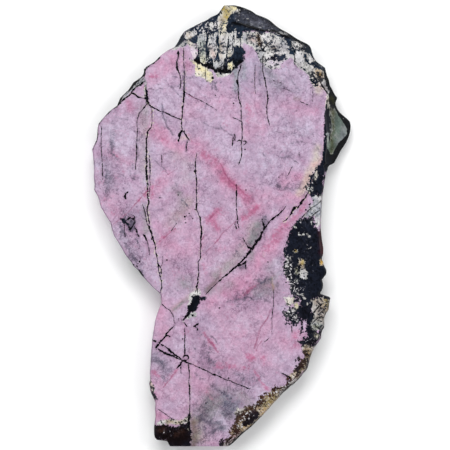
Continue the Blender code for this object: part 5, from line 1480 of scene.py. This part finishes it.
    # veins, each set on its own signed distance, and the pale flecks beside them
    fade = finish["veinSoftness"]
    veinMask = 0
    fleckMask = 0
    for name in darkVeins:
        off, wide, fleck = shade.parts(name)
        off = abs(off + wobble * finish["veinWander"])
        half = wide * (0.9 + finish["veinSwell"] * (swell - 0.5)) + (fine - 0.5) * finish["veinGrit"]
        onVein = wide.mask("veinHere")
        veinMask = ((half - off).rise(-fade, fade) * onVein).most(veinMask)
        beside = (off - finish["fleckFrom"]).mask("fleckStart") * (finish["fleckTo"] - off).mask("fleckEnd")
        fleckMask = (beside * onVein * fleck * flake.mask("fleck")).most(fleckMask)
    spotRadius = shade.parts("spot")[2]
    flat = shade.tinted(shade.vector("spot"), (1, 1, 0))
    reach = shade.node("ShaderNodeVectorMath", {"operation": "LENGTH"}, {0: flat}, output="Value")
    spotMask = (spotRadius + wobble * stir["spot"] - reach).mask("spotRim")
    colour = coated(shade, fleckMask, colour, "cream")
    colour = coated(shade, veinMask.most(spotMask), colour, "ink")
    off, wide = shade.parts("rose")[:2]
    roseMask = (wide * (0.2 + 1.3 * swell) - abs(off + wobble * stir["rose"])).mask("roseRim")
    colour = coated(shade, roseMask * (0.36 + mottle.mask("plumMottle")), colour, "plum")

    # specks
    gathered = finish["speckGather"]
    colour = coated(shade, (paleSpeck * gathered + flake).mask("whiteSpeck"), colour, "white")
    colour = coated(shade, (darkSpeck * gathered + fine).mask("blackSpeck"), colour, "black")

    # the broken edge, with a dark weathered crust and all of it darkened as painted shade, and the sawn
    # back, duller and greyer
    rindMask = (rind * 1.2 + (rough - 0.5) * stir["rind"]).mask("rind") * broken * (0.12 + 0.88 * wall)
    crust = shade.mix(fine.mask("crust") * 0.4, colourOf("black"), colourOf("slate"))
    colour = shade.mix(rindMask * finish["rind"], colour, crust)
    colour = coated(shade, sawn, colour, "beige")
    # painted shade: every broken face darker by 12 to 32 percent, most where the mottle is low
    colour = shade.shaded(colour, finish["tone"] * (1 - broken * (0.12 + 0.2 * mottle.mask("edgeShadeMottle"))))

    gloss = finish["polishRoughness"] + stir["gloss"] * (mottle - 0.5)
    gloss = gloss + broken * (finish["brokenRoughness"] - finish["polishRoughness"])
    gloss = gloss + sawn * (finish["sawnRoughness"] - finish["polishRoughness"])
    turned = shade.node("ShaderNodeVectorMath", {"operation": "DISTANCE"},
                        {0: place, 1: finish["sawCentre"]}, output="Value")
    sawLines = turned.math("SINE", turned * (2 * np.pi / finish["sawPitch"]))
    deep = finish["heights"]
    height = broken * (rough + fine * deep["fine"]) + grain * deep["polishGrain"]
    height = height + sawn * (sawLines * deep["sawLine"] + grain * deep["sawnGrain"])
    bump = shade.node("ShaderNodeBump", None,
                      {"Strength": 1.0, "Distance": finish["bumpDepth"], "Height": height})
    surface = shade.node("ShaderNodeBsdfPrincipled", None, {
        "Base Color": colour, "Roughness": gloss, "Normal": bump,
        "IOR": finish["refraction"], "Specular IOR Level": finish["reflection"]})
    shade.node("ShaderNodeOutputMaterial", None, {"Surface": surface})
    return shade.owner


stone = bpy.data.objects.new("rhodoniteSlab", slabMesh())
bpy.context.scene.collection.objects.link(stone)
print("stone material")
stone.data.materials.append(stoneMaterial())
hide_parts("rhodonite_slab")
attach(stone, "root")

# A pale floor, four soft lights and the camera straight above.
studio = {
    "floor": (0.97, 0.97, 0.97, 1),
    "floorRoughness": 0.9,
    "floorHalf": 3.0,
    "floorHeight": -0.0001,  # a hair below the slab's back
    "lights": [  # (watts, width, height, place)
        (14.6, 1.1, 0.8, (-0.10, 0.95, 0.85)),
        (5.2, 0.9, 0.9, (-1.00, 0.20, 0.85)),
        (7.2, 0.9, 0.9, (1.00, 0.25, 0.70)),
        (3.9, 1.1, 0.8, (0.10, -0.90, 1.00)),
    ],
    "sky": [(0.0, (0.92, 0.93, 0.95, 1)), (0.8, (0.05, 0.05, 0.055, 1))],  # (height, colour)
    "cameraHigh": 3.0,  # metres above the floor
    "cameraAt": (0.001306, 0.00029),
    "sensor": 36,  # millimetres
    "framed": 0.16327,  # metres of floor across the picture, at the polish
}


def floorMaterial():
    # pale paper with a faint tooth
    shade = Shade(bpy.data.materials.new("paper"))
    place = shade.node("ShaderNodeTexCoord", output="Object")
    tooth = shade.noise(place, 0.0015, 3.1, 3, 0.6)
    bump = shade.node("ShaderNodeBump", None, {"Strength": 0.1, "Distance": 0.0001, "Height": tooth})
    surface = shade.node("ShaderNodeBsdfPrincipled", None, {
        "Base Color": studio["floor"], "Roughness": studio["floorRoughness"],
        "Specular IOR Level": 0.2, "Normal": bump})
    shade.node("ShaderNodeOutputMaterial", None, {"Surface": surface})
    return shade.owner


def floorPlane():
    # one square of floor just under the slab
    half = studio["floorHalf"]
    mesh = bpy.data.meshes.new("floor")
    corners = [(x * half, y * half, studio["floorHeight"]) for x, y in ((-1, -1), (1, -1), (1, 1), (-1, 1))]
    mesh.from_pydata(corners, [], [(0, 1, 2, 3)])
    floor = bpy.data.objects.new("floor", mesh)
    bpy.context.scene.collection.objects.link(floor)
    mesh.materials.append(floorMaterial())


def softLight(name, watts, width, height, place):
    # a softbox turned to face the slab
    lamp = bpy.data.lights.new(name, "AREA")
    lamp.shape = "RECTANGLE"
    lamp.size = width
    lamp.size_y = height
    lamp.energy = watts
    light = bpy.data.objects.new(name, lamp)
    light.location = place
    light.rotation_euler = Vector(place).to_track_quat("Z", "Y").to_euler()
    bpy.context.scene.collection.objects.link(light)


def softWorld():
    # dark overhead and bright at the horizon, so that a level polish stays deep
    shade = Shade(bpy.data.worlds.new("room"))
    bpy.context.scene.world = shade.owner
    place = shade.node("ShaderNodeTexCoord", output="Generated")
    height = shade.node("ShaderNodeSeparateXYZ", None, {0: place}, "Z")
    light = shade.node("ShaderNodeValToRGB", {"stops": studio["sky"]}, {0: height})
    sky = shade.node("ShaderNodeBackground", None, {"Color": light})
    shade.node("ShaderNodeOutputWorld", None, {"Surface": sky})


def overheadCamera():
    # straight down; the lens frames the given width at the height of the polish
    data = bpy.data.cameras.new("camera")
    data.sensor_width = studio["sensor"]
    data.lens = studio["sensor"] * (studio["cameraHigh"] - slab["thickness"]) / studio["framed"]
    data.clip_start = 0.01
    camera = bpy.data.objects.new("camera", data)
    camera.location = (*studio["cameraAt"], studio["cameraHigh"])
    bpy.context.scene.collection.objects.link(camera)
    bpy.context.scene.camera = camera


print("floor, lights and camera")
floorPlane()
for number, (watts, width, height, place) in enumerate(studio["lights"]):
    softLight("softbox" + str(number), watts, width, height, place)
softWorld()
overheadCamera()
bpy.context.scene.view_settings.view_transform = "Standard"
